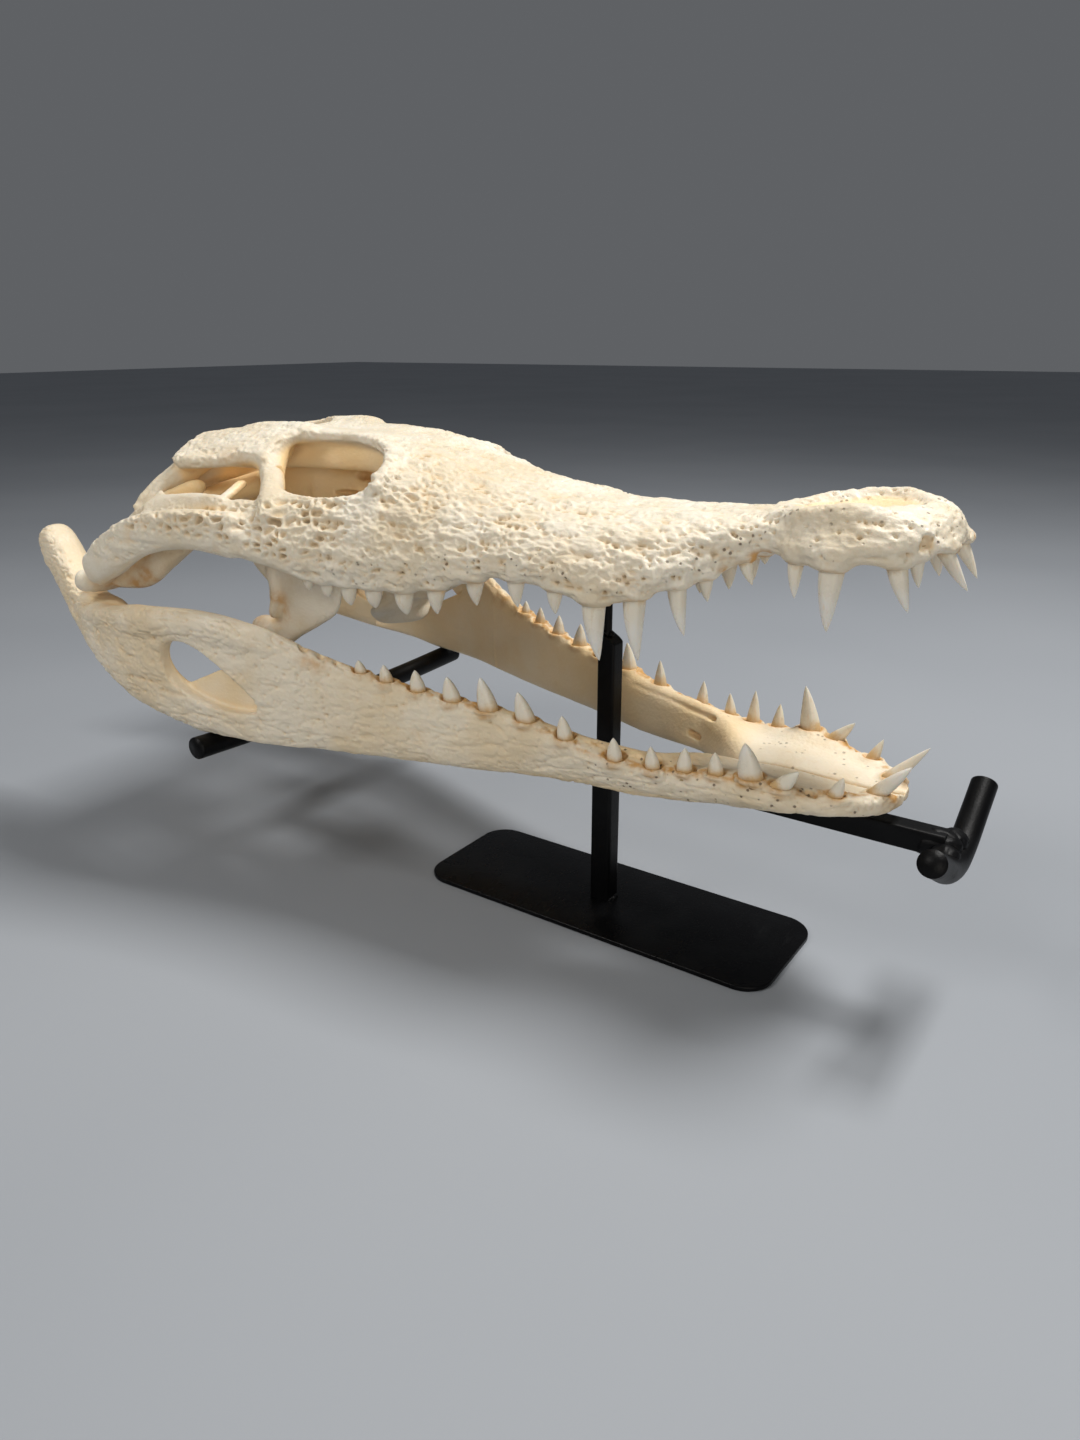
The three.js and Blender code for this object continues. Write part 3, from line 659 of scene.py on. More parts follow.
@dataclass(frozen=True)
class BoneFinish:
    """Dry degreased bone: cream, with painted shade in light and dark brown in its hollows and pores, a
    golden stain inside lightened as painted bounce light, and ochre by the sockets.
    """

    name: str = "dry bone"
    pale: tuple[float, float, float] = (0.80, 0.74, 0.62)
    cream: tuple[float, float, float] = (0.70, 0.60, 0.44)
    # streaky flecks of the bone, and painted shade in pressed relief
    tan: tuple[float, float, float] = (0.70, 0.48, 0.24)
    # golden stain inside, lightened as painted bounce light in the hollows
    honey_stain_and_glow: tuple[float, float, float] = (0.93, 0.67, 0.34)
    ochre: tuple[float, float, float] = (0.58, 0.31, 0.09)
    # dark brown of painted shade, laid in the deepest relief, in shut-in hollows and in the pore dots
    shade_brown: tuple[float, float, float] = (0.13, 0.085, 0.05)
    roughness: float = 0.52
    pores_per_metre: float = 400.0
    bump_share: float = 0.55
    bump_metres: float = 0.0008

    def material(self) -> bpy.types.Material:
        """The material, made once."""
        if self.name in bpy.data.materials:
            return bpy.data.materials[self.name]
        made = bpy.data.materials.new(self.name)
        made.use_nodes = True
        t = NodeTree(made.node_tree)
        shader = made.node_tree.nodes["Principled BSDF"]
        grain = t.node("ShaderNodeGroup", node_tree=grain_group())
        t.link(t.place(), grain.inputs["Place"])
        streak = t.noise(t.place((0.35, 1.0, 1.0)), 260.0, 5.0)
        cloud = t.noise(t.place(), 28.0, 3.0)
        pit = t.value_of("pit")
        inner = t.value_of("inner")
        root = t.value_of("root")
        shade = grain.outputs["Shade"]
        body = t.mix(t.ramp(t.math("ADD", t.math("MULTIPLY", cloud, 0.6), t.math("MULTIPLY", shade, 0.4)),
                            0.38, 0.62), rgba(self.pale), rgba(self.cream))
        flecks = t.math("MULTIPLY", t.ramp(streak, 0.60, 0.78), 0.35)
        body = t.mix(flecks, body, rgba(self.tan))
        # golden stain inside, lightened as painted bounce light in the hollows
        depth = t.math("MULTIPLY", inner, t.ramp(cloud, 0.25, 0.6, 0.7, 1.0))
        body = t.mix(t.math("MULTIPLY", depth, 0.9), body, rgba(self.honey_stain_and_glow))
        # painted shade: light brown, then dark brown, where relief is pressed deepest and where the surface
        # is shut in
        body = t.mix(t.math("MULTIPLY", t.ramp(pit, 0.2, 1.2), 0.56), body, rgba(self.tan))
        body = t.mix(t.math("MULTIPLY", t.ramp(pit, 0.75, 1.6), 0.5), body, rgba(self.shade_brown))
        mottle = t.ramp(t.noise(t.place(), 420.0, 4.0), 0.3, 0.6, 0.35, 1.0)
        body = t.mix(t.math("MULTIPLY", root, mottle), body, rgba(self.ochre))
        # painted shade of the small pores: dark dots, also sunk in the bump
        dots = t.node("ShaderNodeTexVoronoi")
        t.link(t.place(), dots.inputs["Vector"])
        dots.inputs["Scale"].default_value = self.pores_per_metre
        dot = t.math("MULTIPLY", t.ramp(dots.outputs["Distance"], 0.24, 0.12), t.value_of("pore"))
        dot = t.math("MULTIPLY", dot, t.ramp(t.noise(t.place(), 130.0, 2.0), 0.46, 0.54))
        body = t.mix(t.math("MULTIPLY", dot, 0.8), body, rgba(self.shade_brown))
        t.link(body, shader.inputs["Base Color"])
        gloss = t.ramp(t.math("ADD", t.math("MULTIPLY", shade, 0.7), t.math("MULTIPLY", pit, 0.3)), 0.2, 0.9,
                       self.roughness - 0.08, self.roughness + 0.2)
        t.link(gloss, shader.inputs["Roughness"])
        height = t.math("ADD", t.math("MULTIPLY", grain.outputs["Height"], 0.8),
                        t.math("MULTIPLY", streak, 0.6))
        height = t.math("SUBTRACT", height, dot)
        bump = t.node("ShaderNodeBump")
        bump.inputs["Strength"].default_value = self.bump_share
        bump.inputs["Distance"].default_value = self.bump_metres
        t.link(height, bump.inputs["Height"])
        t.link(bump.outputs["Normal"], shader.inputs["Normal"])
        shader.inputs["Subsurface Weight"].default_value = 0.12
        shader.inputs["Subsurface Radius"].default_value = (1.0, 0.62, 0.35)
        shader.inputs["Subsurface Scale"].default_value = 0.0025
        shader.inputs["Specular IOR Level"].default_value = 0.42
        return made


@dataclass(frozen=True)
class ToothFinish:
    """Enamel: pale grey ivory, faintly striped along the tooth, stained yellow brown at the neck."""

    name: str = "tooth enamel"
    tip: tuple[float, float, float] = (0.80, 0.77, 0.70)
    body: tuple[float, float, float] = (0.77, 0.71, 0.59)
    neck: tuple[float, float, float] = (0.64, 0.41, 0.15)
    dark: tuple[float, float, float] = (0.20, 0.10, 0.035)

    def material(self) -> bpy.types.Material:
        """The material, made once."""
        if self.name in bpy.data.materials:
            return bpy.data.materials[self.name]
        made = bpy.data.materials.new(self.name)
        made.use_nodes = True
        t = NodeTree(made.node_tree)
        shader = made.node_tree.nodes["Principled BSDF"]
        along = t.value_of("along")
        stripe = t.noise(t.place((1.0, 1.0, 0.12)), 700.0, 3.0)
        patch = t.noise(t.place(), 220.0, 4.0)
        wander = t.math("ADD", along, t.math("MULTIPLY", t.math("SUBTRACT", patch, 0.5), 0.5))
        body = t.mix(t.ramp(wander, 0.35, 0.95), rgba(self.body), rgba(self.tip))
        body = t.mix(t.ramp(wander, 0.22, -0.06, 0.0, 0.8), body, rgba(self.neck))
        body = t.mix(t.math("MULTIPLY", t.ramp(wander, 0.04, -0.14), t.ramp(patch, 0.4, 0.65)), body,
                     rgba(self.dark))
        body = t.mix(t.math("MULTIPLY", t.ramp(stripe, 0.55, 0.75), 0.3), body, rgba(self.neck))
        t.link(body, shader.inputs["Base Color"])
        t.link(t.ramp(patch, 0.3, 0.7, 0.22, 0.42), shader.inputs["Roughness"])
        bump = t.node("ShaderNodeBump")
        bump.inputs["Strength"].default_value = 0.3
        bump.inputs["Distance"].default_value = 0.0003
        t.link(stripe, bump.inputs["Height"])
        t.link(bump.outputs["Normal"], shader.inputs["Normal"])
        shader.inputs["Subsurface Weight"].default_value = 0.25
        shader.inputs["Subsurface Radius"].default_value = (1.0, 0.7, 0.45)
        shader.inputs["Subsurface Scale"].default_value = 0.002
        return made


@dataclass(frozen=True)
class PaintFinish:
    """Satin black paint brushed over steel, with a faint orange peel and dusty rubbed patches."""

    name: str = "black paint"
    black: tuple[float, float, float] = (0.0015, 0.0015, 0.0018)
    dust: tuple[float, float, float] = (0.008, 0.0085, 0.0095)
    roughness: float = 0.42
    peel: float = 0.25

    def material(self) -> bpy.types.Material:
        """The material, made once."""
        if self.name in bpy.data.materials:
            return bpy.data.materials[self.name]
        made = bpy.data.materials.new(self.name)
        made.use_nodes = True
        t = NodeTree(made.node_tree)
        shader = made.node_tree.nodes["Principled BSDF"]
        cloud = t.noise(t.place(), 60.0, 5.0)
        peel = t.noise(t.place(), 1400.0, 2.0)
        rub = t.ramp(t.noise(t.place((1.0, 0.25, 1.0)), 330.0, 6.0, 0.7), 0.56, 0.74)
        dusty = t.math("MULTIPLY", t.ramp(cloud, 0.45, 0.75),
                       t.math("ADD", t.math("MULTIPLY", rub, 0.6), 0.4))
        t.link(t.mix(dusty, rgba(self.black), rgba(self.dust)), shader.inputs["Base Color"])
        t.link(t.ramp(t.math("ADD", t.math("MULTIPLY", cloud, 0.6), t.math("MULTIPLY", rub, 0.4)), 0.2, 0.9,
                      self.roughness, self.roughness + 0.25), shader.inputs["Roughness"])
        bump = t.node("ShaderNodeBump")
        bump.inputs["Strength"].default_value = self.peel
        bump.inputs["Distance"].default_value = 0.0003
        t.link(peel, bump.inputs["Height"])
        t.link(bump.outputs["Normal"], shader.inputs["Normal"])
        shader.inputs["Metallic"].default_value = 0.0
        shader.inputs["Specular IOR Level"].default_value = 0.14
        return made


# ---------------------------------------------------------------- relief


@dataclass(frozen=True)
class Relief:
    """Patterns that are pressed into bone, each worked out from place alone and 1 where deepest."""

    comb_cell: tuple[float, float, float] = (4.0, 3.4, 2.7)
    worm_cell: tuple[float, float, float] = (3.8, 2.4, 2.1)
    pit_cell: float = 2.3

    def comb(self, p: np.ndarray) -> np.ndarray:
        """Honeycomb: 0 on the walls between cells and 1 inside, by second minus first distance."""
        warp = 0.4 * waves(p / 6.0, 31, 2)[:, None]
        near, second, share = cells(p / np.array(self.comb_cell) + warp, 3)
        return smoothstep(0.05, 0.55, second - near) * (0.5 + 0.5 * share)

    def worms(self, p: np.ndarray) -> np.ndarray:
        """Winding grooves lying fore and aft between low ridges."""
        warp = np.stack([waves(p / 5.0, 41 + k, 2) for k in range(3)], 1)
        near, second, share = cells(p / np.array(self.worm_cell) + 0.45 * warp, 5)
        return smoothstep(0.05, 0.55, second - near) * (0.25 + 0.75 * share)

    def pits(self, p: np.ndarray, seed: int = 9) -> np.ndarray:
        """Scattered round pits, a share of them missing, of uneven size."""
        near, _, share = cells(p / self.pit_cell, seed)
        radius = 0.17 + 0.22 * share
        return smoothstep(1.1, 0.4, near / radius) * (share > 0.45)

    def ripples(self, p: np.ndarray) -> np.ndarray:
        """Low lengthwise unevenness, from -1 to 1."""
        return waves(p / np.array([8.0, 3.2, 2.8]), 17, 4)


# ---------------------------------------------------------------- teeth


@dataclass(frozen=True)
class Tooth:
    """One tooth: root place, direction, size, bow, taper and how far its stain climbs, in millimetres."""

    root: tuple[float, float, float]
    lean: tuple[float, float, float]
    length: float
    width: float
    bow: tuple[float, float, float]
    taper: float = 1.5
    climb: float = 12.0
    sunk: float = 3.0

    def axis(self, t: np.ndarray) -> np.ndarray:
        """Centre line: root + t length direction + t^2 length bow."""
        way = np.array(self.lean) / np.linalg.norm(self.lean)
        t = t[:, None]
        bend = np.sign(t) * t**2 * self.length * np.array(self.bow)
        return np.array(self.root) + t * self.length * way + bend

    def rings(self, around: int, steps: int) -> tuple[np.ndarray, np.ndarray]:
        """Rings of the tooth and each ring's share of the length.

        The half width is (1 - t^taper)^0.75 of the neck's above the neck and swells a little below it.

        Args:
            around: Points in a ring.
            steps: Number of rings.

        Returns:
            Array (steps, around, 3) and the shares.
        """
        t = np.concatenate([np.linspace(-self.sunk / self.length, 0, 5)[:-1],
                            np.sin(np.linspace(0, math.pi / 2, steps - 4))])
        up = np.clip(t, 0, 1)
        swell = 1 + 0.08 * smoothstep(0.0, -0.4, t)
        half = self.width / 2 * np.maximum(1 - up**self.taper, 0) ** 0.75 * swell
        half = np.maximum(half, 0.1)
        centre = self.axis(t)
        along = np.gradient(centre, axis=0)
        along /= np.linalg.norm(along, axis=1, keepdims=True)
        across = np.array([1.0, 0.0, 0.0]) - along * along[:, :1]
        across /= np.linalg.norm(across, axis=1, keepdims=True)
        deep = np.cross(along, across)
        angle = 2 * math.pi * np.arange(around) / around
        keel = 1 + 0.05 * np.cos(2 * angle) + 0.02 * np.cos(7 * angle)
        cosine, sine = np.cos(angle)[None, :, None], 0.9 * np.sin(angle)[None, :, None]
        ring = (half[:, None] * keel)[:, :, None] * (cosine * across[:, None, :] + sine * deep[:, None, :])
        return centre[:, None, :] + ring, t

    def cup(self, tall: float) -> Skin:
        """Shallow opening of the socket, longer fore and aft than across."""
        x, y, z = self.root
        return ball((x, y, z + math.copysign(0.9, self.lean[2])),
                    (self.width / 2 + 1.3, self.width / 2 + 0.6, tall))

    def collar(self, tall: float) -> Skin:
        """Swelling of the bone round the neck."""
        x, y, z = self.root
        return ball((x, y, z - math.copysign(0.7, self.lean[2])),
                    (self.width / 2 + 1.6, self.width / 2 + 1.2, tall))


def tooth_piece(name: str, teeth: list[Tooth]) -> Piece:
    """All teeth of one bone as one piece, with each point's share along its tooth."""
    points, quads, triangles, along = [], [], [], []
    start = 0
    for tooth in teeth:
        rings, t = tooth.rings(20, 20)
        skin = Skin.over(rings)
        points.append(skin.points)
        quads.append(skin.quads + start)
        triangles.append(skin.triangles + start)
        along.append(np.concatenate([np.repeat(t * tooth.length / tooth.climb, rings.shape[1]),
                                     [t[0], t[-1]]]))
        start += len(skin.points)
    return Piece(name, np.concatenate(points), [np.concatenate(quads), np.concatenate(triangles)],
                 {"along": np.concatenate(along)})


# ---------------------------------------------------------------- bones


class Carving:
    """A volume of bone, its relief and the way a part of it becomes a piece."""

    stain_reach = 1.3
    # x, y on both sides, z, reach and strength of each patch of stain
    stains: tuple[tuple[float, ...], ...] = ()

    def __init__(self, solid: Volume, outer: Volume, teeth: list[Tooth]) -> None:
        self.solid = solid
        self.outer = outer
        self.teeth = teeth
        self.relief = Relief()

    def depth(self, p: np.ndarray, n: np.ndarray, skin: np.ndarray) -> np.ndarray:
        """Depth in millimetres that relief presses in at each point; each carving has its own."""
        raise NotImplementedError

    def inside(self, p: np.ndarray, skin: np.ndarray) -> np.ndarray:
        """1 well inside the unbroken outside, 0 on it; it lays the golden stain, lightened as painted bounce
        light.
        """
        return smoothstep(-1.9, -5.0, skin)

    def pored(self, p: np.ndarray, n: np.ndarray, skin: np.ndarray) -> np.ndarray:
        """How thickly small foramina are strewn at each point; they are drawn as dark dots of painted shade.
        """
        raise NotImplementedError

    def row(self, p: np.ndarray) -> np.ndarray:
        """1 along the tooth rows, patchy, and 0 from 3.6 mm off the lines through the roots."""
        roots = np.array(sorted(t.root for t in self.teeth if t.root[1] > 0))
        y, z = (np.interp(p[:, 0], roots[:, 0], roots[:, k]) for k in (1, 2))
        off = np.hypot(np.abs(p[:, 1]) - y, p[:, 2] - z)
        ends = smoothstep(roots[0, 0] - 12, roots[0, 0], p[:, 0]) * smoothstep(3.6, 1.2, off)
        return ends * smoothstep(-0.25, 0.45, waves(p / np.array([5.0, 3.0, 3.0]), 51, 3))

    def stained(self, p: np.ndarray) -> np.ndarray:
        """The strongest of the stains: sockets, tooth rows and the patches listed for both sides."""
        total = np.maximum(self.near_teeth(p), self.row(p))
        cloud = smoothstep(-0.5, 0.5, waves(p / 6.0, 91, 3))
        for x, y, z, reach, strength in self.stains:
            off = np.linalg.norm(np.stack([p[:, 0] - x, np.abs(p[:, 1]) - y, p[:, 2] - z], 1), axis=1)
            total = np.maximum(total, strength * cloud * smoothstep(reach, 0.3 * reach, off))
        return total

    def near_teeth(self, p: np.ndarray) -> np.ndarray:
        """1 in a socket, falling to 0 at the carving's stain reach outside it."""
        closest = np.full(len(p), 99.0)
        for tooth in self.teeth:
            way = np.array(tooth.lean) / np.linalg.norm(tooth.lean)
            rel = p - np.array(tooth.root)
            up = rel @ way
            flat = np.linalg.norm(rel - up[:, None] * way, axis=1) - tooth.width / 2
            closest = np.minimum(closest, np.hypot(np.maximum(flat, 0),
                                                   np.maximum(np.abs(up + 0.4) - 0.9, 0)))
        return smoothstep(self.stain_reach, 0.2, closest)

    def part(self, name: str, outside: np.ndarray) -> Piece:
        """The piece of the bone where outside is negative, a little longer past the seam and sunk there.

        Args:
            name: Name of the piece.
            outside: Distance past the seam at each grid place, in millimetres.

        Returns:
            The piece, with its pit value (relief depth and shut-in amount, which lay painted shade), inner,
            root and pore values.
        """
        values = np.maximum(self.solid.values + SEAM_SINK * np.maximum(outside, 0), outside - SEAM_OVERLAP)
        p, quads = meshed(values, self.solid.start)
        n = point_normals(p, quads)
        if np.einsum("ij,ij->i", n[:2000], self.gradient(p[:2000])).mean() < 0:
            quads = quads[:, ::-1]
            n = -n
        skin = self.outer.sample(p)
        pressed = self.depth(p, n, skin)
        shut = self.shut_in(p, n)
        moved = p - n * pressed[:, None]
        # pit is relief depth plus shut-in amount, the mask of painted shade in recesses; inner takes half the
        # shut-in amount as painted bounce light
        return Piece(name, moved, [quads], {
            "pit": np.clip(pressed, 0, 2) + 0.9 * shut,
            "inner": np.clip(self.inside(p, skin) + 0.5 * shut, 0, 1),
            "root": self.stained(p),
            "pore": self.pored(p, n, skin),
        })

    def gradient(self, p: np.ndarray) -> np.ndarray:
        """Slope of the distance at each point, by differences over two voxels."""
        steps = np.eye(3) * VOXEL
        return np.stack([self.solid.sample(p + s) - self.solid.sample(p - s) for s in steps], 1)

    def shut_in(self, p: np.ndarray, n: np.ndarray) -> np.ndarray:
        """How shut in a point is: the distance missing at 1.5, 3 and 5 mm straight out from it; it lays
        painted shade and painted bounce light in hollows.
        """
        total = np.zeros(len(p))
        for reach, weight in ((1.5, 0.4), (3.0, 0.35), (5.0, 0.25)):
            total += weight * np.clip(1 - self.solid.sample(p + n * reach) / reach, 0, 1)
        return smoothstep(0.12, 0.8, total)


@dataclass
class Cranium:
    """Snout, roof, arches, palate and braincase of the skull."""

    half_width: Knots = Knots((106, 7.5), (104.5, 12), (100, 17), (93, 21.5), (85, 24), (76, 24.5),
                              (67, 21.8), (61, 19),
                              (55, 18), (47, 20.5), (36, 29), (24, 35.5), (12, 38.5), (-15, 39.5),
                              (-55, 45.5),
                              (-90, 55), (-120, 62.5), (-150, 67), (-176, 67))
    top: Knots = Knots((106, 144), (105, 147), (102.5, 150.3), (98, 152), (88, 152.8), (77, 153.8),
                       (66, 151.2), (56, 148.2),
                       (34, 146), (6, 144.8), (-18, 146.8), (-45, 151), (-69, 157), (-97, 160.8),
                       (-125, 161.5),
                       (-150, 160.2), (-171, 158))
    tooth_line: Knots = Knots((106, 141.8), (100, 141), (96, 139.4), (92, 137.9), (86, 138.2), (78, 135.9),
                              (70, 136), (62, 136.8), (56, 137.4), (45, 131),
                              (28, 124.5), (13, 120.5), (-5, 123.8), (-20, 124.5), (-40, 119.5), (-58, 116.5),
                              (-82, 117), (-105, 122), (-134, 126.5), (-176, 126))
    palate: Knots = Knots((106, 142.3), (100, 142), (90, 141), (57, 139), (13, 127), (-55, 122),
                          (-110, 120), (-176, 120))
    crown_y: Knots = Knots((106, 2), (98, 8), (85, 10.5), (58, 8), (38, 11), (10, 15), (-35, 17), (-62, 17),
                           (-85, 15), (-102, 14), (-114, 17), (-125, 23), (-171, 26.5))
    crown_rise: Knots = Knots((106, -1), (60, -1), (-35, -0.7), (-75, 0.4), (-104, 0.5), (-125, 1),
                              (-171, 0.6))
    shoulder_y: Knots = Knots((106, 5.5), (98, 15), (85, 19.6), (70, 17.6), (58, 15.6), (38, 22), (10, 31),
                              (-35, 33),
                              (-60, 36), (-80, 41), (-100, 47.5), (-120, 54), (-150, 59), (-176, 60))
    shoulder_z: Knots = Knots((106, 143), (103, 146.3), (98, 148.4), (85, 148.6), (70, 147), (58, 145.5),
                              (38, 142), (10, 138),
                              (-35, 141.5), (-60, 145.5), (-80, 146.5), (-100, 143.5), (-120, 141),
                              (-150, 137),
                              (-176, 134))
    shell: float = 4.2
    tip_squeeze: float = 0.1
    tip_start: float = 95.0
    table_rear: float = -171.0
    premaxilla_rear: float = 59.0
    snout_rear: float = -80.0
    frontal_rear: float = -119.0
    room: tuple[tuple[float, float, float], ...] = ((-212, -76, 68), (112, 76, 170))
    # line between roof and cheek: its y and z along the skull
    parting_y: Knots = Knots((-75, 30), (-100, 33), (-118, 38), (-140, 46), (-176, 47))
    parting_z: Knots = Knots((-75, 154), (-100, 152), (-118, 149), (-140, 146), (-176, 143))
    struts: tuple[Strut, ...] = (
        # column behind the eye
        Strut(((-131, 21, 158, 6, 4.5), (-125.5, 30, 151.8, 4.8, 4.4), (-115, 40, 145.6, 4.1, 4.1),
               (-107, 48, 141, 4.3, 4.3), (-103, 53, 134, 5.5, 5)), 2.5),
        # rear corner of the table, down to the quadrate, and the plate beside it
        Strut(((-150, 25, 153, 5, 3.6), (-163, 28, 151.5, 5, 4.4), (-171, 34, 145.5, 5, 4.8),
               (-177, 42, 136, 4.6, 4.6), (-181, 48, 128, 4, 4)), 3.0),
        Strut(((-171, 31, 143, 2.2, 7), (-176, 38, 137, 2.4, 7.5), (-182, 47, 128, 2.8, 6.5)), 2.0),
        # cheek arch
        Strut(((-112, 58.3, 131, 3.4, 8), (-134, 63.5, 132, 3.6, 6.8), (-158, 66, 127.5, 3.8, 7.2),
               (-178, 65.5, 118, 4.4, 7.6), (-194, 64, 110.5, 4.4, 6)), 3.0),
        # crest beside the table's window
        Strut(((-155, 19, 156.5, 3, 2), (-148, 18, 160.2, 4.6, 3), (-135, 17, 161, 5, 3.3),
               (-121, 16.5, 161.3, 4.8, 3.3), (-114.5, 16.5, 159.8, 3.6, 2.4)), 1.5, ends=0.1),
        # raised rim of the eye
        Strut(((-116, 17, 160, 2, 2), (-108, 15.5, 160.4, 2.2, 1.9), (-94, 15.5, 160.2, 2.2, 1.9),
               (-80, 19.5, 158, 2.2, 1.9), (-71, 28, 153.6, 2.2, 1.8), (-70.5, 37, 150, 2, 1.6)), 2.5,
               ends=0.15),
        # outer edge of the table
        Strut(((-126, 31, 155, 3.2, 3.0), (-140, 36, 152.4, 3.2, 2.6), (-156, 39.5, 150.8, 3.2, 2.4),
               (-168, 38, 150.2, 3.4, 2.8)), 3.0, ends=0.15),
        # thin rod inside the rear window
        Strut(((-128, 58, 138.2, 1.9, 1.6), (-130, 46, 142.5, 1.7, 1.4), (-132, 34, 147.5, 2.4, 1.8)), 1.5),
        # inner wall of the eye's opening
        Strut(((-150, 16, 152, 3.4, 6), (-132, 13, 154.3, 3.4, 6.5), (-112, 11.6, 154.8, 3.2, 6.6),
               (-92, 12, 154.3, 3.2, 6.2), (-78, 17, 151.6, 3.4, 6), (-69.5, 28, 148.5, 3, 5.5),
               (-69, 40, 144, 2.6, 4.5)), 3.0),
        # bone above the rear of the cheek arch
        Strut(((-186, 55, 121, 3, 3.4), (-172, 56, 129.5, 3, 4), (-155, 55.5, 136, 2.8, 4),
               (-138, 54.5, 139.6, 2.4, 3), (-122, 55, 140, 2.4, 3)), 2.5),
        # pillar from the roof to the palate, at the eye's front
        Strut(((-77, 18, 150, 4, 5), (-76, 12.5, 138, 4, 4), (-76, 10, 126, 4.5, 4.5)), 3.0),
    )
    # edge of the nostril: (x, y, z, half across, half high); the left side stands a little higher
    rim: tuple[tuple[float, ...], ...] = (
        (52, 6, 146.4, 2.4, 1.4), (60, 11.5, 147.5, 2.2, 1.8), (67, 14.5, 149, 2.1, 2),
        (75, 16.2, 150, 2, 2.1),
        (82, 16.2, 150.2, 2, 2.1), (89, 13.5, 149.6, 2.2, 2), (95, 8, 148.6, 2.6, 1.9),
    )
    rim_tilt: float = 0.9
    # x, inset from the side, length on the right, length on the left, width, lean forwards
    teeth: tuple[tuple[float, ...], ...] = (
        (102, 6.8, 12.5, 11.5, 4.2, 0.6), (97, 3.4, 8, 7, 3.8, 0.1), (92.5, 3.6, 13, 9.5, 5.2, 0.3),
        (77, 3.5, 18, 7, 6.6, -0.05), (66, 3, 11, 6, 4.4, 0), (50, 3, 8, 4, 4.2, 0.3),
        (41, 3.2, 7.5, 4, 4.6, 0.1),
        (34.5, 3.4, 15, 8.3, 5.6, 0.15), (24, 3.6, 19.5, 10.3, 6.8, 0.08), (12, 3.8, 18, 11, 7.2, 0.12),
        (-1, 3.5, 8.4, 7.5, 5.4, 0), (-15, 3.5, 9.4, 8, 5.8, 0.05), (-30, 3.8, 8.8, 8, 6.2, 0),
        (-44, 4, 9.4, 8, 6.6, -0.03), (-56, 4.2, 8.6, 7.5, 6.6, 0.05), (-67, 4.4, 7.6, 6.5, 6.2, 0),
        (-76, 4.6, 7.6, 6, 5.8, 0), (-84, 4.8, 6, 5, 5, 0), (-91, 5, 5.2, 4.5, 4.4, 0.05),
    )

    def outer_skin(self) -> Skin:
        """The unbroken outside: half a section is a spline through seven points, mirrored."""
        x = np.concatenate([[106.0, 105.2, 104.0], np.arange(102, self.table_rear, -1.5), [self.table_rear]])
        width, low, top = self.half_width(x), self.tooth_line(x), self.top(x)
        shoulder_z = self.shoulder_z(x)
        place = x - self.tip_squeeze * np.maximum(x - self.tip_start, 0)
        columns = [
            (0 * x, top),
            (self.crown_y(x), top + self.crown_rise(x)),
            (self.shoulder_y(x), shoulder_z),
            (width, low + 0.3 * (shoulder_z - low)),
            (width - np.minimum(2.2, 0.2 * width), low),
            (width - np.minimum(9, 0.4 * width), low + 0.7),
            (0 * x, self.palate(x)),
        ]
        control = np.stack([np.stack(c, -1) for c in columns], 1)
        half = spline(control, 61, places=2)
        other = half[:, -2:0:-1] * np.array([-1.0, 1.0])
        flat = np.concatenate([half, other], 1)
        return Skin.over(np.concatenate([np.broadcast_to(place[:, None, None], (*flat.shape[:2], 1)), flat],
                                        -1))

    def chamber(self) -> Skin:
        """The open space under the roof and inside the arches."""
        x = np.linspace(-74.0, self.table_rear - 6, 40)
        roof = self.top(x) - self.shell
        crown = self.crown_y(x)
        shoulder = self.shoulder_y(x) - self.shell
        wall = self.half_width(x) - self.shell
        slope = self.shoulder_z(x) - self.shell - 1
        floor = np.full(len(x), 90.0)
        half = [(0 * x, roof), (crown, roof), (shoulder, slope), (wall, slope - 10), (wall, floor),
                (0 * x, floor)]
        ring = half + [(-y, z) for y, z in half[-2:0:-1]]
        grid = np.stack([np.stack([x, y, z], -1) for y, z in ring], 1)
        return Skin.over(grid)

    def tooth_list(self, side: Side) -> list[Tooth]:
        """The teeth of one side, front to back."""
        made = []
        rng = np.random.default_rng(11 + side.value)
        for x, inset, right, left, width, lean in self.teeth:
            length = right if side is Side.RIGHT else left
            y = float(self.half_width(x)) - inset - 0.9
            z = float(self.tooth_line(x)) + 0.4
            x -= self.tip_squeeze * max(x - self.tip_start, 0)
            sway = rng.uniform(-0.04, 0.04, 2)
            shape = (1.5 + 0.9 * (x < -50), 12.0) if side is Side.RIGHT else (1.3, 17.0)
            made.append(Tooth((x, side.value * y, z), (lean + sway[0], side.value * (0.14 + sway[1]), -1.0),
                              length, width, (0.03, -side.value * 0.17, 0.0), *shape))
        return made

    def cut_windows(self, frame: Volume, side: Side) -> None:
        """Cuts the windows of one side: behind the eye, the eye's, the palate's and below the arch."""
        s = side.value
        rear, eye = 0.45, 0.545
        frame.cut(prism((-140, s * 45, 147), (1, 0, 0.03), (0, math.cos(rear), s * -math.sin(rear)),
                        (27, 11.5), 22, 2.3), 2.0)
        frame.cut(prism((-96.5, s * 29, 154), (1, 0, 0), (0, math.cos(eye), s * -math.sin(eye)),
                        (26, 18.2), 20, 2.2), 2.4)
        frame.cut(prism((-69, s * 24, 126), (1, 0, 0), (0, 1, 0), (37, 12), 14, 2.0), 2.0)
        frame.cut(prism((-183, s * 62, 121), (0, 1, 0), (0, 0, 1), (30, 31), 20, 6.0), 1.5)

